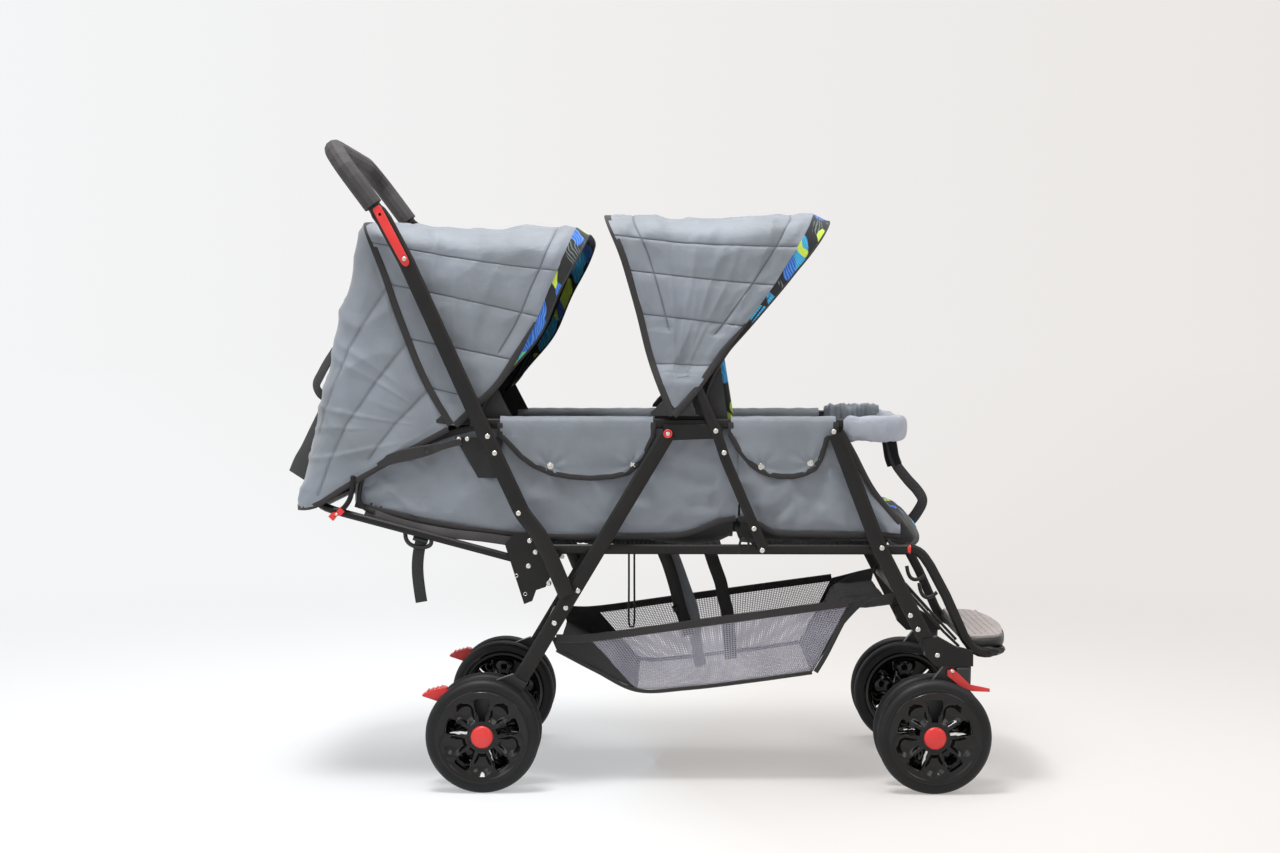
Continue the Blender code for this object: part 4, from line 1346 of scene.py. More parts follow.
def seat_pad(
    name, hinge, angle, length, half_width, thick, corner, cap, channels, body, cover=None,
    narrow=0.0, lift=0.0
):
    # Local X runs along the pad, local Z is its face; hinge and angle place it
    pad = pad_form(length, half_width, thick, corner, narrow)
    swell(pad, cap)
    groove(pad, channels, 0.42, 0.0045)
    c, s = math.cos(math.radians(angle)), math.sin(math.radians(angle))
    face = Vector((s, 0, -c))
    origin = at(*hinge) + face * lift
    pad.matrix_world = Matrix(((c, 0, s, origin.x), (0, -1, 0, 0), (s, 0, -c, origin.z), (0, 0, 0, 1)))
    settle(pad, name, "pad", body, 60)
    if cover:
        # Face cover on the front, plain cloth on the sides and back
        pad.data.materials.append(LOOKS[cover])
        for poly in pad.data.polygons:
            poly.material_index = int(poly.normal.dot(face) > -0.25 and poly.center.z > hinge[1] + 0.03 * s)
    return pad


def on_pad(hinge, angle):
    c, s = math.cos(math.radians(angle)), math.sin(math.radians(angle))
    return lambda u, v, w: at(hinge[0] + u * c + w * s, hinge[1] + u * s - w * c, v), Vector((s, 0, -c))


REAR_HINGE, REAR_ANGLE = (0.020, 0.4105), 165.5
FRONT_HINGE, FRONT_ANGLE = (0.3975, 0.3951), 99.0


def buckle(name, place, look, body):
    # Side-release buckle: a waisted block with a raised middle
    block = cube((0.030, 0.044, 0.010))
    bpy.ops.object.mode_set(mode="EDIT")
    bpy.ops.mesh.subdivide(number_cuts=2)
    bpy.ops.object.mode_set(mode="OBJECT")
    for v in block.data.vertices:
        if abs(v.co.y) < 0.01:
            v.co.x *= 1.2
        if v.co.z > 0.004 and abs(v.co.x) < 0.008 and abs(v.co.y) < 0.01:
            v.co.z += 0.003
    bevelled(block, 0.0016, 2)
    block.matrix_world = Matrix.Translation(place)
    return settle(block, name, look, body, 40)


def harness(end, hinge, angle, reach, body, seat_z, off):
    place, face = on_pad(hinge, angle)
    for side_name, side in SIDES:
        label = f"{end}_{side_name}"
        path = [place(reach, side * 0.048, off - 0.008)]
        for share, y in ((0.98, 0.047), (0.7, 0.044), (0.4, 0.036)):
            path.append(place(reach * share, side * y, off))
        path.append(place(0.035, side * 0.026, off))
        band(f"{label}_shoulder_strap", path, face, 0.025, 0.0016, "strap", body)
        shares = (0.94, 0.8, 0.66, 0.52)
        sleeve = [place(reach * f, side * (0.0475 - 0.006 * (0.95 - f)), off + 0.002) for f in shares]
        band(f"{label}_shoulder_sleeve", sleeve, face, 0.042, 0.0055, "black", body)
        waist = [(0.030, 0.004, 0.150), (0.045, 0.010, 0.115), (0.066, 0.014, 0.060), (0.076, 0.016, 0.022)]
        waist = [at(hinge[0] + x, seat_z + z, side * y) for x, z, y in waist]
        band(f"{label}_waist_strap", waist, (0.1, 0, 1), 0.025, 0.0016, "strap", "chassis")
    buckle(f"{end}_harness_buckle", at(hinge[0] + 0.078, seat_z + 0.016), "plastic", "chassis")


def seats():
    seat_lining("rear", TOP, REAR_LINING_FLOOR, -0.203, 0.392, 0.004, 31.0)
    seat_lining("front", FRONT_TOP, FRONT_LINING_FLOOR, 0.404, 0.652, 0.003, 37.0)
    seams = [("x", 0.055), ("x", 0.105), ("x", 0.155)]
    pad = seat_pad(
        "rear_backrest_pad", REAR_HINGE, REAR_ANGLE, 0.208, 0.146, 0.014, 0.03, 0.006, seams,
        "rear_back", "print"
    )
    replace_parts(pad, "rear_backrest")
    seams = [("x", 0.09), ("x", 0.18), ("x", 0.27), ("y", 0.075)]
    pad = seat_pad(
        "front_backrest_pad", FRONT_HINGE, FRONT_ANGLE, 0.356, 0.146, 0.016, 0.035, 0.007, seams,
        "front_back", "blue_print", 0.06, 0.004
    )
    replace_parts(pad, "front_backrest")
    place = on_pad(FRONT_HINGE, FRONT_ANGLE)[0]
    for side_name, side in SIDES:
        roll = []
        for u in (0.045, 0.09, 0.16, 0.23, 0.30, 0.345):
            roll.append(place(u, side * (0.1450 - 0.030 * u - 0.012 * max(0.0, u - 0.30) / 0.05), 0.0180))
        name = f"front_backrest_{side_name}_printed_roll"
        tube(name, roll, 0.0082, "blue_print", "front_back", 16, True, 60)
    seams = [("x", 0.07), ("x", 0.14)]
    seat_pad("rear_seat_pad", (0.030, 0.4085), 0.0, 0.205, 0.150, 0.012, 0.02, 0.006, seams, "chassis")
    seams = [("x", 0.08), ("x", 0.16)]
    seat_pad("front_seat_pad", (0.420, 0.4000), 0.0, 0.240, 0.150, 0.013, 0.02, 0.006, seams, "chassis")
    front_lip()
    harness("rear", REAR_HINGE, REAR_ANGLE, 0.178, "rear_back", 0.415, 0.0155)
    harness("front", FRONT_HINGE, FRONT_ANGLE, 0.300, "front_back", 0.409, 0.0205)


LIP_HALF_WIDTH = 0.150
LIP_OUTLINE = [
    (0.628, 0.412), (0.634, 0.432), (0.650, 0.440), (0.666, 0.434), (0.680, 0.418), (0.693, 0.402),
    (0.698, 0.388), (0.692, 0.376), (0.676, 0.371), (0.655, 0.374), (0.640, 0.386), (0.628, 0.412)
]


def front_lip():
    # Turned-over front end of the front seat, printed above and black in front
    outline = smooth_path([(x, 0, z) for x, z in LIP_OUTLINE], 41)[:-1]
    rings = []
    steps = 56
    for j in range(steps + 1):
        y = -LIP_HALF_WIDTH + 2 * LIP_HALF_WIDTH * j / steps
        end = abs(y / LIP_HALF_WIDTH)
        shrink = 1 - 0.35 * end**8
        lap = []
        for p in outline:
            q = Vector((0.664 + (p.x - 0.664) * shrink, y, 0.404 + (p.z - 0.404) * shrink))
            q.x += 0.0035 * ripple(q, 30, 51.0, (1.0, 1.6, 1.0)) - 0.010 * end**3
            q.z += 0.0045 * ripple(q, 26, 57.0, (1.0, 1.6, 1.0))
            lap.append(at(q.x, q.z, y))
        rings.append(lap)
    lip = skin("front_seat_lip", rings)
    finish = lip.modifiers.new("finish", "SUBSURF")
    finish.levels = finish.render_levels = 1
    apply_all(lip)
    settle(lip, "front_seat_lip", "black", "chassis", 60)
    lip.data.materials.append(LOOKS["print"])
    for poly in lip.data.polygons:
        poly.material_index = int(poly.center.z > 0.405 and poly.normal.z > 0.05)


seats()

# Bumper bar cover and its strap

BUMPER_PLAN = [
    (0.560, -0.1695), (0.580, -0.1705), (0.606, -0.1720), (0.632, -0.1680), (0.650, -0.1520),
    (0.6600, -0.125), (0.6640, -0.060), (0.6640, 0.0)
]
BUMPER_Z = 0.566


def rounded(angle):
    # A circle's cosine and sine, drawn out towards a rounded square
    return [math.copysign(abs(v) ** 0.8, v) for v in (math.cos(angle), math.sin(angle))]


def bumper_sleeve():
    plan = BUMPER_PLAN + [(x, -y) for x, y in reversed(BUMPER_PLAN[:-1])]
    path = smooth_path([at(x, BUMPER_Z, y) for x, y in plan], 110)
    rings = []
    for k, (p, along) in enumerate(zip(path, directions(path))):
        out = along.cross(Vector((0, 0, 1)))
        end = min(k, len(path) - 1 - k)
        closing = math.sqrt(max(0.0, 1 - (1 - min(1.0, end / 4)) ** 2)) * 0.75 + 0.25
        size = closing * (1 - 0.10 * bell(end - 7, 1.6))
        turns = [rounded(2 * math.pi * m / 28) for m in range(28)]
        rings.append([p + out * (0.0105 * a * size) + Vector((0, 0, 0.0215 * b * size)) for a, b in turns])
    sleeve = skin("bumper_sleeve", rings)
    swell(sleeve, 0.0045, 0.005, 4.0)
    for v, n in zip(sleeve.data.vertices, [v.normal.copy() for v in sleeve.data.vertices]):
        # Gathers where the cover is drawn together, soft dents elsewhere
        fine = 0.0016 if abs(abs(v.co.y) - 0.160) < 0.022 else 0.0006
        v.co += n * (0.0016 * ripple(v.co, 32, 61.0) + fine * ripple(v.co, 95, 63.0, (1.0, 1.0, 0.35)))
    settle(sleeve, "bumper_sleeve", "pale", "bumper", 60)
    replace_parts(sleeve, "bumper_bar")


def bumper_cuff():
    # Cover cloth gathered round the far arm
    rows = []
    for k in range(44):
        x = 0.5600 + 0.092 * k / 43
        bend = 9.0 * max(0.0, x - 0.604) ** 2
        row = []
        for m in range(49):
            ca, sa = math.cos(2 * math.pi * m / 48), math.sin(2 * math.pi * m / 48)
            fluff = 0.98 + 0.13 * noise.noise(Vector((ca * 1.2, sa * 1.2, k * 0.16)))
            fluff += 0.11 * noise.noise(Vector((ca * 0.8, sa * 0.8, k * 0.52)))
            fluff -= 0.25 * max(0.0, 0.10 - k / 43) / 0.10
            row.append(at(x, BUMPER_Z + 0.003 + 0.0265 * fluff * sa, 0.1670 - bend + 0.0150 * fluff * ca))
        rows.append(row)
    cloth("bumper_gathered_cuff", rows, "grey", "bumper", 0.001)


def strap_out(t, p):
    # The strap turns from the bar's front towards the side as it goes down
    return Vector((0.75 - 0.3 * t, -1.0, 0.1))


def crotch_strap():
    line = [(0.657, 0.545), (0.659, 0.529), (0.667, 0.502), (0.686, 0.476), (0.704, 0.456), (0.7125, 0.439)]
    points = level(line + [(0.704, 0.420), (0.692, 0.405), (0.680, 0.398)], 0.004)
    strap = band("front_crotch_strap", points, strap_out, 0.019, 0.0035, "strap", None, True, 60)
    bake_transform(strap)
    loop = [
        (0.6540, 0.560, -0.006), (0.6550, 0.545, -0.004), (0.6580, 0.528, 0.000), (0.6610, 0.512, 0.003)
    ]
    loop = route(loop + [(0.6660, 0.498, 0.004)])
    band("bumper_strap_loop", loop, (-0.8, -1.0, 0.0), 0.028, 0.004, "black", "bumper", True, 30)


bumper_sleeve()
bumper_cuff()
crotch_strap()

# Basket: mesh tray with black cloth ends, hung from two wires

BASKET_Y = 0.1755


def basket_part(name, look, stations, floor_sag, seed):
    # A hung sheet from rim to rim, through the wall's foot on each side, at each station
    rows = []
    for (xt, zt), (xb, zb) in stations:
        half = [
            Vector((xt, zt, -BASKET_Y)),
            Vector((xb + (xt - xb) * 0.06, zb + (zt - zb) * 0.06, -BASKET_Y + 0.009)),
            Vector((xb, zb, -BASKET_Y + 0.013)),
            Vector((xb, zb - floor_sag * 0.8, -0.07)),
            Vector((xb, zb - floor_sag, 0.0))
        ]
        row = []
        for p in even(half + [Vector((p.x, p.y, -p.z)) for p in reversed(half[:-1])], 100):
            place = Vector((p.x, p.z, p.y))
            wave = 0.0030 * ripple(place, 16, seed) + 0.0012 * ripple(place, 45, seed)
            free = clamp((zt - p.y) / 0.02)
            y = p.z - math.copysign(abs(wave) * free, p.z) if abs(p.z) > 0.15 else p.z
            row.append(at(p.x, p.y + (wave * free if abs(p.z) < 0.15 else 0.0), y))
        rows.append(row)
    return cloth(name, rows, look, "chassis", 0.0010)


def between(top, low, count):
    a, b = smooth_path([(x, 0, z) for x, z in top], count), smooth_path([(x, 0, z) for x, z in low], count)
    return [((p.x, p.z), (q.x, q.z)) for p, q in zip(a, b)]


# Each part of the basket: look, upper line, lower line, stations, sag and seed
BASKET_PARTS = {
    "basket_mesh_tray": (
        "mesh", [(0.165, 0.233), (0.300, 0.2515), (0.440, 0.271), (0.575, 0.2895)],
        [(0.240, 0.1490), (0.320, 0.1520), (0.420, 0.1640), (0.519, 0.1780)], 64, 0.004, 71.0
    ),
    "basket_rear_panel": (
        "black", [(0.104, 0.2350), (0.135, 0.2335), (0.1655, 0.2335)],
        [(0.112, 0.2130), (0.175, 0.1800), (0.2405, 0.1488)], 24, 0.003, 73.0
    ),
    "basket_front_panel": (
        "black",
        [
            (0.5745, 0.2895), (0.5752, 0.2897), (0.5762, 0.2900), (0.5800, 0.2910), (0.612, 0.2990),
            (0.650, 0.3080)
        ],
        [
            (0.5185, 0.1780), (0.5395, 0.2130), (0.5600, 0.2480), (0.5770, 0.2780), (0.606, 0.2810),
            (0.644, 0.2860)
        ],
        44, 0.002, 79.0
    ),
}
BASKET_RIM = [(0.112, 0.2335), (0.165, 0.2340), (0.300, 0.2525), (0.440, 0.2720), (0.575, 0.2905)]
BASKET_FLOOR = [
    (0.112, 0.213), (0.175, 0.180), (0.2405, 0.1488), (0.320, 0.1520), (0.420, 0.1640), (0.5185, 0.1780)
]
BASKET_SLOPE = [(0.5235, 0.1800), (0.540, 0.2080), (0.560, 0.2480), (0.580, 0.2860)]


def basket():
    for name, (look, top, low, count, sag, seed) in BASKET_PARTS.items():
        part = basket_part(name, look, between(top, low, count), sag, seed)
        if name == "basket_mesh_tray":
            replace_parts(part, "basket")
    for side_name, side in SIDES:
        for label, line, inset, tilt, width, thick, count in (
            ("rim_band", BASKET_RIM, -0.0006, 0, 0.0125, 0.0055, 50),
            ("floor_binding", BASKET_FLOOR, 0.0105, -0.6, 0.0070, 0.0024, 70),
            ("front_strip", BASKET_SLOPE, 0.0025, 0, 0.0080, 0.0024, 30),
        ):
            line = level(line, side * (BASKET_Y - inset))
            name = f"basket_{side_name}_{label}"
            band(name, line, (0, side, tilt), width, thick, "trim", "chassis", True, count)


basket()

# Rivets, clips, wires and straps of the frame

# Outer faces of the frame's pieces, from the middle
LEG_FACE, HANDLE_FACE, PLATE_FACE, POST_FACE, HOOP_FACE = 0.2100, 0.2232, 0.2017, 0.2092, 0.1995
RELEASE_FACE, FRONT_LEG_FACE = 0.2284, 0.2142
TOP_RIVET = (0.289, 0.560)
RIVET_RADIUS, RIVET_HEIGHT = 0.0044, 0.0026
LEG_HEADS = [(0.148, 0.313), (0.129, 0.286), (0.111, 0.262), TOP_RIVET, (0.548, 0.563), (0.624, 0.381)]
LEG_HEADS += [(0.669, 0.275), (0.681, 0.253)]
POST_HEADS = [(0.364, 0.564), (0.377, 0.530), (0.424, 0.411), (0.437, 0.377)]
PLATE_HEADS = [(0.072, 0.391), (0.081, 0.373), (0.070, 0.351), (0.102, 0.324)]
HANDLE_HEADS = [(0.008, 0.556), (0.019, 0.530), (0.056, 0.436)]


def side_rivets(name, side, groups, look="steel", body="chassis", radius=RIVET_RADIUS, height=RIVET_HEIGHT):
    # Heads that look outwards; groups holds (points, face) pairs
    places = [(at(x, z, side * face), (0, side, 0)) for points, face in groups for x, z in points]
    return rivets(name, places, radius, height, look, body)


def fasteners():
    for name, side in SIDES:
        groups = [(LEG_HEADS, LEG_FACE), (POST_HEADS, POST_FACE), (PLATE_HEADS, PLATE_FACE)]
        side_rivets(f"{name}_frame_rivets", side, groups)
        side_rivets(f"{name}_handle_rivets", side, [(HANDLE_HEADS, HANDLE_FACE)], body="handle")
        curtain_heads = [([(-0.026, 0.551), (-0.039, 0.551)], HOOP_FACE)]
        side_rivets(f"{name}_curtain_rivets", side, curtain_heads, radius=0.0040, height=0.0024)
        release_head = [([(-0.120, 0.832)], RELEASE_FACE)]
        side_rivets(f"{name}_release_rivet", side, release_head, body=f"{name}_release", radius=0.0040)
        side_rivets(f"{name}_front_leg_rivet", side, [([(0.711, 0.213)], FRONT_LEG_FACE)])
        washer = circle(*TOP_RIVET, side * (LEG_FACE + 0.0008), 0.0058, 24)
        tube(f"{name}_red_washer", washer, 0.0013, "red", "chassis", 8, False, cyclic=True)
        # Pale rings of the plate's empty holes
        for label, x, z in (("upper", 0.051, 0.336), ("lower", 0.065, 0.307)):
            eyelet = circle(x, z, side * PLATE_FACE, 0.0026, 16)
            tube(f"{name}_{label}_eyelet", eyelet, 0.0009, "steel", "chassis", 4, False, cyclic=True)
        cap = [at(x, 0.3775, side * RAIL_Y) for x in (0.6655, 0.668, 0.6705)]
        tube(f"{name}_rail_end_cap", cap, 0.0074, "red", "chassis", 12, False)


# Lines of the rear fittings, as (x, z, y)
RED_CLIP = [(-0.241, 0.4255, 0.2), (-0.236, 0.4305, 0.2), (-0.228, 0.4345, 0.2), (-0.2225, 0.4400, 0.2)]
BENT_BAR = [(-0.206, 0.492, 0.1960), (-0.2075, 0.474, 0.1975), (-0.211, 0.457, 0.1985)]
BENT_BAR += [(-0.220, 0.443, 0.1985), (-0.230, 0.4355, 0.1975)]
INNER_BAR = [(-0.1920, 0.490, 0.1900), (-0.1965, 0.470, 0.1905), (-0.1970, 0.453, 0.1905)]
INNER_BAR += [(-0.1890, 0.441, 0.1895), (-0.1740, 0.4340, 0.1890)]
BATTEN = [(-0.188, 0.4365, 0.1880), (-0.128, 0.4160, 0.1895), (-0.060, 0.4020, 0.1900)]
BATTEN += [(0.000, 0.3950, 0.1900), (0.048, 0.3880, 0.1895)]
ROLL = [
    (-0.168, 0.5120, 0.1945), (-0.140, 0.5215, 0.1968), (-0.088, 0.5335, 0.1980), (-0.036, 0.5470, 0.1968)
]
STRAP = [(-0.1000, 0.3905, 0.1868), (-0.1035, 0.3760, 0.1880), (-0.1060, 0.3560, 0.1876)]
STRAP += [(-0.1060, 0.3360, 0.1868), (-0.1035, 0.3120, 0.1862), (-0.1005, 0.2920, 0.1858)]
STRAP_BUCKLE = [(-0.1260, 0.4060, 0.1868), (-0.1240, 0.3920, 0.1880), (-0.1160, 0.3830, 0.1884)]
STRAP_BUCKLE += [(-0.1000, 0.3790, 0.1884), (-0.0860, 0.3830, 0.1880), (-0.0840, 0.3960, 0.1868)]


def waist(t):
    return 1 - 0.35 * bell(t - 0.5, 0.16)


def roll_width(t):
    return 0.55 + 0.45 * math.sin(math.pi * min(1.0, t * 1.25 + 0.05)) ** 0.6


def rear_fittings():
    for name, side in SIDES:
        out = (0, side, 0)
        clip = route(RED_CLIP, side)
        band(f"{name}_red_clip", clip, out, 0.0105, 0.0075, "red", "chassis", True, 14, waist)
        side_rivets(
            f"{name}_clip_rivet", side, [([(-0.232, 0.4325)], 0.2036)], radius=0.0026, height=0.0018
        )
        tube(f"{name}_bent_bar", route(BENT_BAR, side), 0.0042, "frame", "chassis", 12)
        tube(f"{name}_inner_bar", route(INNER_BAR, side), 0.0036, "frame", "chassis", 12)
        batten = route(BATTEN, side)
        band(f"{name}_hem_batten", batten, (0, side, 0.25), 0.0145, 0.0030, "foam", "chassis")
        roll = route(ROLL, side)
        band(f"{name}_rolled_edge", roll, out, 0.0195, 0.0085, "trim", "chassis", True, 40, roll_width)
        button = circle(-0.089, 0.5345, side * 0.2018, 0.0052, 20)
        tube(f"{name}_roll_button", button, 0.0015, "plastic", "chassis", 8, False, cyclic=True)
        # Black reinforcement sewn on under the handle pivot, narrower towards its foot
        rows = []
        for j in range(15):
            t = j / 14
            left, right = -0.046 + 0.036 * t, 0.030 - 0.010 * t
            row = [
                (left + (right - left) * k / 14, 0.1884 + 0.0010 * math.sin(3 * t + k * 0.5))
                for k in range(15)
            ]
            rows.append([at(x, 0.553 - 0.064 * t, side * y) for x, y in row])
        cloth(f"{name}_reinforcement", face_out(rows, side), "black", "chassis", 0.0009)
    # Hanging tensioner strap with its buckle on the right rail of the hoop
    strap = route(STRAP, -1)
    band("right_hanging_strap", strap, (0.15, -1, 0), 0.0185, 0.0016, "strap", "chassis", True, 40)
    tube("right_strap_buckle", route(STRAP_BUCKLE, -1), 0.0034, "plastic", "chassis", 8)
    bar = route([(-0.1130, 0.3940, 0.1868), (-0.0900, 0.3880, 0.1868)], -1)
    tube("right_strap_buckle_bar", bar, 0.0040, "plastic", "chassis", 8, False)


# Black tie that hangs from the back of the curtain
TIE_LOOP = [(-0.262, 0.690, -0.012), (-0.276, 0.668, -0.014), (-0.287, 0.648, -0.014)]
TIE_LOOP += [(-0.2945, 0.632, -0.012), (-0.290, 0.619, -0.010), (-0.279, 0.611, -0.008)]
TIE_TAIL = [(-0.272, 0.618, -0.008), (-0.283, 0.590, -0.008), (-0.297, 0.556, -0.010)]
TIE_TAIL += [(-0.311, 0.522, -0.010), (-0.322, 0.500, -0.008), (-0.329, 0.481, -0.006)]


def tail_width(t):
    return 0.40 + 0.62 * t


def curtain_strap():
    band("curtain_tie_loop", route(TIE_LOOP), (-0.7, -0.7, 0), 0.020, 0.0022, "strap", "chassis", True, 30)
    out = (-0.75, -0.8, 0.1)
    band("curtain_tie_tail", route(TIE_TAIL), out, 0.044, 0.0026, "black", "chassis", True, 40, tail_width)


# What hangs under the seats, as (x, z, y)
WIRE_LOOP = [(0.2240, 0.388, 0), (0.2240, 0.300, 0), (0.2240, 0.236, 0), (0.2285, 0.2275, 0)]
WIRE_LOOP += [(0.2330, 0.236, 0), (0.2330, 0.300, 0), (0.2330, 0.388, 0)]
BOARD_BAR = [
    (0.2800, 0.356), (0.2900, 0.331), (0.3010, 0.295), (0.3090, 0.263), (0.3170, 0.238), (0.3230, 0.214)
]
BOARD_WEB = [(0.2960, 0.352, 0.012), (0.3060, 0.326, 0.010), (0.3180, 0.292, 0.008), (0.3300, 0.258, 0.006)]
BOARD_WEB += [(0.3350, 0.228, 0.006), (0.3380, 0.190, 0.006), (0.3450, 0.161, 0.008)]
PULL_STRAP = [(0.3590, 0.352), (0.3680, 0.325), (0.3780, 0.297), (0.3830, 0.272), (0.3900, 0.243)]
PULL_STRAP += [(0.3930, 0.205), (0.3960, 0.166)]
LATCH = [(0.4010, 0.3700), (0.4025, 0.3880), (0.4090, 0.3950), (0.4150, 0.3900), (0.4170, 0.3790)]


def under_seat():
    tube("hanging_wire_loop", route(WIRE_LOOP), 0.0017, "wire", "chassis", 8, True, 50)
    band("leg_board_bar", level(BOARD_BAR, -0.004), (0.1, -1, 0), 0.0200, 0.0060, "frame", "chassis")
    rivets(
        "leg_board_rivet", [(at(0.3010, 0.257, -0.0080), (0, -1, 0))], 0.0040, 0.0026, "steel", "chassis"
    )
    tab = level([(0.2990, 0.2560), (0.3060, 0.2600)], -0.0040)
    tube("leg_board_tab", tab, 0.0075, "frame", "chassis", 12, False)
    band("leg_board_webbing", route(BOARD_WEB), (0.25, -1, 0), 0.0190, 0.0018, "grey_strap", "chassis")
    band("seat_pull_strap", level(PULL_STRAP, 0.05), (0.1, -1, 0), 0.0215, 0.0030, "strap", "chassis")
    for name, side in SIDES:
        tube(f"{name}_latch_wire", level(LATCH, side * 0.1965), 0.0019, "wire", "chassis", 8)


UPPER_HOOK = [(0.6660, 0.3500), (0.6680, 0.3400), (0.6720, 0.3320), (0.6790, 0.3285), (0.6880, 0.3310)]
UPPER_HOOK += [(0.6945, 0.3360)]
LOWER_HOOK = [(0.6855, 0.3230), (0.6875, 0.3125), (0.6915, 0.3040), (0.6985, 0.3000), (0.7070, 0.3030)]
LOWER_HOOK += [(0.7140, 0.3085)]
BRACE = [(0.6640, 0.3220, 0.1790), (0.6900, 0.2930, 0.1780), (0.7200, 0.2600, 0.1770)]
HOUSING_CUT_X = 0.752


def front_fittings():
    for label, line in (("upper", UPPER_HOOK), ("lower", LOWER_HOOK)):
        tube(f"right_{label}_hook", level(line, -0.1810), 0.0030, "wire", "footrest", 8)
    for name, side in SIDES:
        for label, shift in (("outer", 0.0), ("inner", -0.0155)):
            line = [(x - shift * 0.4, z + shift, y) for x, z, y in BRACE]
            line.append((0.7450 - shift * 0.3, 0.2330 + shift * 0.7, 0.1760))
            tube(f"{name}_{label}_brace_wire", route(line, side), 0.0022, "wire", "footrest", 8, False)
        # Closed back of the caster housing, stepped in below
        block = cube((0.022, 0.030, 0.046), at(0.7510, 0.1710, side * LEG_Y))
        for v in block.data.vertices:
            if v.co.x > REAR_AXLE_X + HOUSING_CUT_X and v.co.z < 0.17:
                v.co.x -= 0.003
        bevelled(block, 0.0025, 3)
        settle(block, f"{name}_caster_housing", "plastic", f"front_{name}_caster", 40)
        head = [([(0.7335, 0.1890)], 0.2208)]
        lock = f"front_{name}_lock"
        side_rivets(f"{name}_lock_rivet", side, head, body=lock, radius=0.0034, height=0.0022)


def link_bars():
    outline = [
        (0.2810, 0.5745), (0.3700, 0.5750), (0.3760, 0.5660), (0.3700, 0.5520), (0.2900, 0.5490),
        (0.2830, 0.5540)
    ]
    for name, side in SIDES:
        prism(f"{name}_link_bar", outline, side * 0.1990, side * 0.2040, "frame", "chassis", 0.0010)


fasteners()
rear_fittings()
curtain_strap()
under_seat()
front_fittings()


# Plastic parts whose real shape is fuller than the solid: release levers, brake pedals, footrest


def prism(name, outline, y_start, y_end, look, body, rounding, segments=3):
    # An outline in the side plane, pushed out across
    obj = extruded(name, level(outline, y_start), (0, y_end - y_start, 0), rounding, segments, 35)
    return settle(obj, name, look, body, 40)


LEVER_HALF = [(0.000, 0.0052), (0.004, 0.0070), (0.045, 0.0072), (0.090, 0.0066), (0.0985, 0.0060)]
LEVER_HALF += [(0.1030, 0.0036), (0.1045, 0.0)]


def release_levers():
    # Long lever on the handle tube, from under the grip down to its rivet
    top = Vector((-0.1640, 0.9130))
    along = (Vector((-0.1180, 0.8260)) - top).normalized()
    across = Vector((-along.y, along.x))
    outline = [top + along * d + across * w for d, w in LEVER_HALF]
    outline += [top + along * d - across * w for d, w in reversed(LEVER_HALF[:-1])]
    hole = top + along * 0.014
    for name, side in SIDES:
        body = f"{name}_release"
        lever = prism(f"{name}_release_lever", outline, side * 0.2238, side * 0.2282, "red", body, 0.0012)
        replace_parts(lever, f"{name}_handle_release")
        side_rivets(f"{name}_release_hole", side, [([hole], 0.2278)], "frame", body, 0.0030, 0.0008)


BRAKE_WEDGE = [
    (-0.0975, 0.1490), (-0.0860, 0.1555), (-0.0640, 0.1615), (-0.0590, 0.1600), (-0.0560, 0.1520),
    (-0.0100, 0.1510), (-0.0080, 0.1470), (-0.0560, 0.1455), (-0.0640, 0.1385), (-0.0690, 0.1375),
    (-0.0880, 0.1440), (-0.0960, 0.1465)
]
BRAKE_RIBS_X = (-0.0880, -0.0810, -0.0740, -0.0670)
BRAKE_SLOPE = 0.27


def brake_pedals():
    for name, side in SIDES:
        body = f"rear_{name}_brake"
        pedal = prism(f"{name}_brake_wedge", BRAKE_WEDGE, side * 0.1935, side * 0.2155, "red", body, 0.0016)
        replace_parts(pedal, f"rear_{name}_brake_pedal")
        for k, x in enumerate(BRAKE_RIBS_X):
            z = 0.1548 + (x + 0.088) * BRAKE_SLOPE
            rib = [at(x, z + 0.0006, side * 0.1950), at(x, z + 0.0006, side * 0.2140)]
            tube(f"{name}_brake_rib_{k}", rib, 0.0011, "red", body, 8, False)


TREAD_HALF_WIDTH = 0.1690
TREAD_CORNER = 0.030


def footrest_outline(shrink):
    # Bowed front edge with round corners, straight back edge
    half, count = TREAD_HALF_WIDTH, 40
    points = []
    for k in range(count + 1):
        y = -half + 2 * half * k / count
        past = max(0.0, (abs(y) - half + TREAD_CORNER) / TREAD_CORNER)
        round_off = TREAD_CORNER * (1 - math.sqrt(max(0.0, 1 - past**2)))
        points.append((0.8415 - 0.024 * (y / half) ** 2 - round_off - shrink, y * (half - shrink) / half))
    return points + [(0.7650 + shrink, half - shrink), (0.7650 + shrink, -half + shrink)]


def footrest():
    # Moulded plate: black base with a rounded lip, grey tread with grip ribs on top
    for name, shrink, low, high, look, rounding in (
        ("footrest_base", 0.0, 0.2165, 0.2338, "plastic", 0.0060),
        ("footrest_tread", 0.0035, 0.2300, 0.2378, "footrest", 0.0016),
    ):
        corners = [at(x, low, y) for x, y in footrest_outline(shrink)]
        obj = extruded(name, corners, (0, 0, high - low), rounding, 4, 50)
        settle(obj, name, look, "footrest", 40)
        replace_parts(obj, "footrest_plate")
    for k in range(5):
        rib = [at(0.7800 + 0.0105 * k, 0.2377, y) for y in (-0.145, 0.145)]
        tube(f"footrest_rib_{k}", rib, 0.0010, "footrest", "footrest", 8, False)


link_bars()
release_levers()
brake_pedals()
footrest()


# Floor, light and background


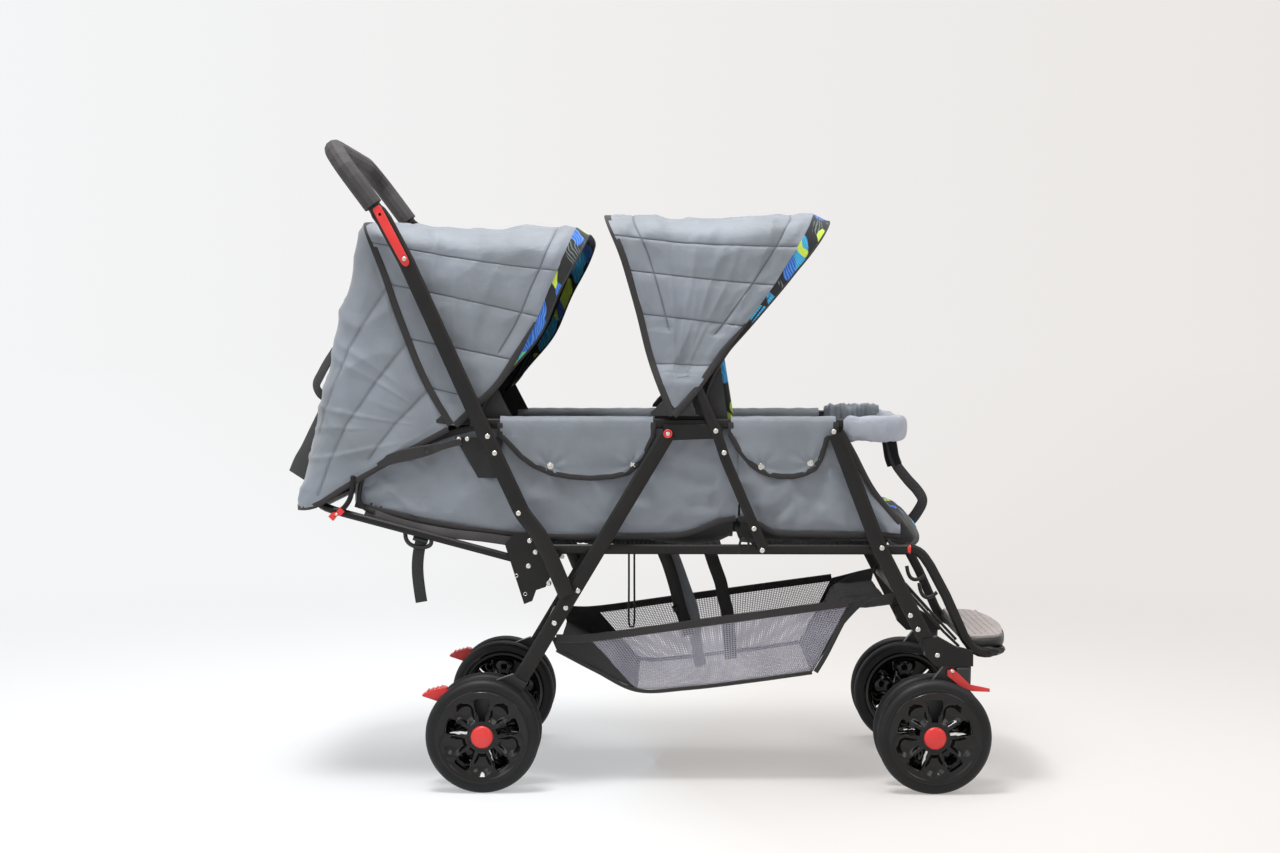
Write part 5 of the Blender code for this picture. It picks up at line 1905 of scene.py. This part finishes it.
def seen_directly(tree):
    # 1 for camera, mirror and see-through rays, which show the backdrop; 0 for the light it gives
    path = add(tree, "LightPath")
    mirror = add(
        tree, "Math", {"operation": "MAXIMUM"}, _0=path.outputs["Is Camera Ray"],
        _1=path.outputs["Is Glossy Ray"]
    )
    return add(
        tree, "Math", {"operation": "MAXIMUM"}, _0=mirror.outputs[0],
        _1=path.outputs["Is Transmission Ray"]
    ).outputs[0]


def backdrop_painted_falloff(tree, heading):
    # Painted light falloff across the backdrop: cool white on the left, warm pale grey on the right
    side = add(tree, "SeparateXYZ", Vector=heading).outputs["X"]
    across = add(tree, "MapRange", {"From Min": -0.33, "From Max": 0.33}, Value=side)
    ramp = add(tree, "ValToRGB", Fac=across.outputs[0])
    ramp.color_ramp.elements[0].color = paint("#f5f6f7")
    ramp.color_ramp.elements[1].color = paint("#eae6e3")
    return ramp.outputs["Color"]


def studio():
    bpy.ops.mesh.primitive_plane_add(size=80, location=(0, 0, 0))
    floor = bpy.context.view_layer.objects.active
    floor.name = "studio_floor"
    mat, tree, shader = new_finish("matt_studio_paper", "#f1ede9", 0.95)
    place = add(tree, "TexCoord").outputs["Object"]
    away = add(tree, "VectorMath", {"operation": "LENGTH"}, _0=place).outputs["Value"]
    heading = add(tree, "VectorMath", {"operation": "NORMALIZE"}, _0=place).outputs[0]
    # Seen by the camera, the paper turns into the lit backdrop with distance and keeps its shadows near
    # the stroller
    fade = add(
        tree, "MapRange",
        {
            "interpolation_type": "SMOOTHSTEP", "From Min": 0.5, "From Max": 3.2, "To Min": 0.42,
            "To Max": 1.0
        },
        Value=away
    )
    seen = seen_directly(tree)
    share = add(tree, "Math", {"operation": "MULTIPLY"}, _0=fade.outputs[0], _1=seen)
    # The paper's colour carries the same painted light falloff, lighter on the left and darker on the right
    paper = backdrop_painted_falloff(tree, heading)
    tree.links.new(paper, shader.inputs["Base Color"])
    glow = add(tree, "Emission", {"Strength": 1.0}, Color=paper)
    mix = add(tree, "MixShader", Fac=share.outputs[0])
    tree.links.new(shader.outputs[0], mix.inputs[1])
    tree.links.new(glow.outputs[0], mix.inputs[2])
    tree.links.new(mix.outputs[0], tree.nodes["Material Output"].inputs["Surface"])
    floor.data.materials.append(mat)
    world = bpy.data.worlds.new("studio_world")
    bpy.context.scene.world = world
    world.use_nodes = True
    tree = world.node_tree
    sky = tree.nodes["Background"]
    sky.inputs["Color"].default_value = paint("#eceeee")
    sky.inputs["Strength"].default_value = 0.50
    # Seen directly, the world shows the painted light falloff from left to right
    shown = add(
        tree, "Background", {"Strength": 1.0},
        Color=backdrop_painted_falloff(tree, add(tree, "TexCoord").outputs["Generated"])
    )
    mix = add(tree, "MixShader", Fac=seen_directly(tree))
    tree.links.new(sky.outputs[0], mix.inputs[1])
    tree.links.new(shown.outputs[0], mix.inputs[2])
    tree.links.new(mix.outputs[0], tree.nodes["World Output"].inputs["Surface"])
    for name, place, size, power in (
        ("left_softbox", (-2.1, -1.9, 2.3), 1.8, 13),
        ("right_softbox", (2.3, -1.5, 2.6), 1.5, 14),
        ("key_softbox", (-0.6, -0.85, 3.4), 0.9, 78),
        ("top_softbox", (0.2, 0.5, 3.2), 2.0, 38),
    ):
        data = bpy.data.lights.new(name, "AREA")
        data.size = size
        data.energy = power
        lamp = bpy.data.objects.new(name, data)
        bpy.context.scene.collection.objects.link(lamp)
        lamp.location = place
        lamp.rotation_euler = (Vector((0, 0, 0.5)) - Vector(place)).to_track_quat("-Z", "Y").to_euler()
    bpy.context.scene.view_settings.view_transform = "Standard"


studio()

# The look of each CAD node, by the pattern of its name; the others are frame tubes
NODE_LOOKS = {
    "tyre": ("*tyre*",),
    "gloss": ("*_rim",),
    "red": ("*hub_cap*", "*brake_pedal*", "*release*", "*swivel_lock*"),
    "plastic": ("*caster_fork*", "*wheel_bracket*"),
    "foam": ("handle_grip",),
    "footrest": ("footrest_plate",),
    "grey": ("*_seat_tub", "bumper_bar", "*_canopy", "rear_curtain"),
    "mesh": ("basket",),
    "pad": ("*backrest*",),
}


def node_look(name):
    for look, patterns in NODE_LOOKS.items():
        if any(fnmatch.fnmatchcase(name, pattern) for pattern in patterns):
            return look
    return "frame"


for node_name, node_object in nodes.items():
    for slot in node_object.material_slots:
        slot.material = LOOKS[node_look(node_name)]
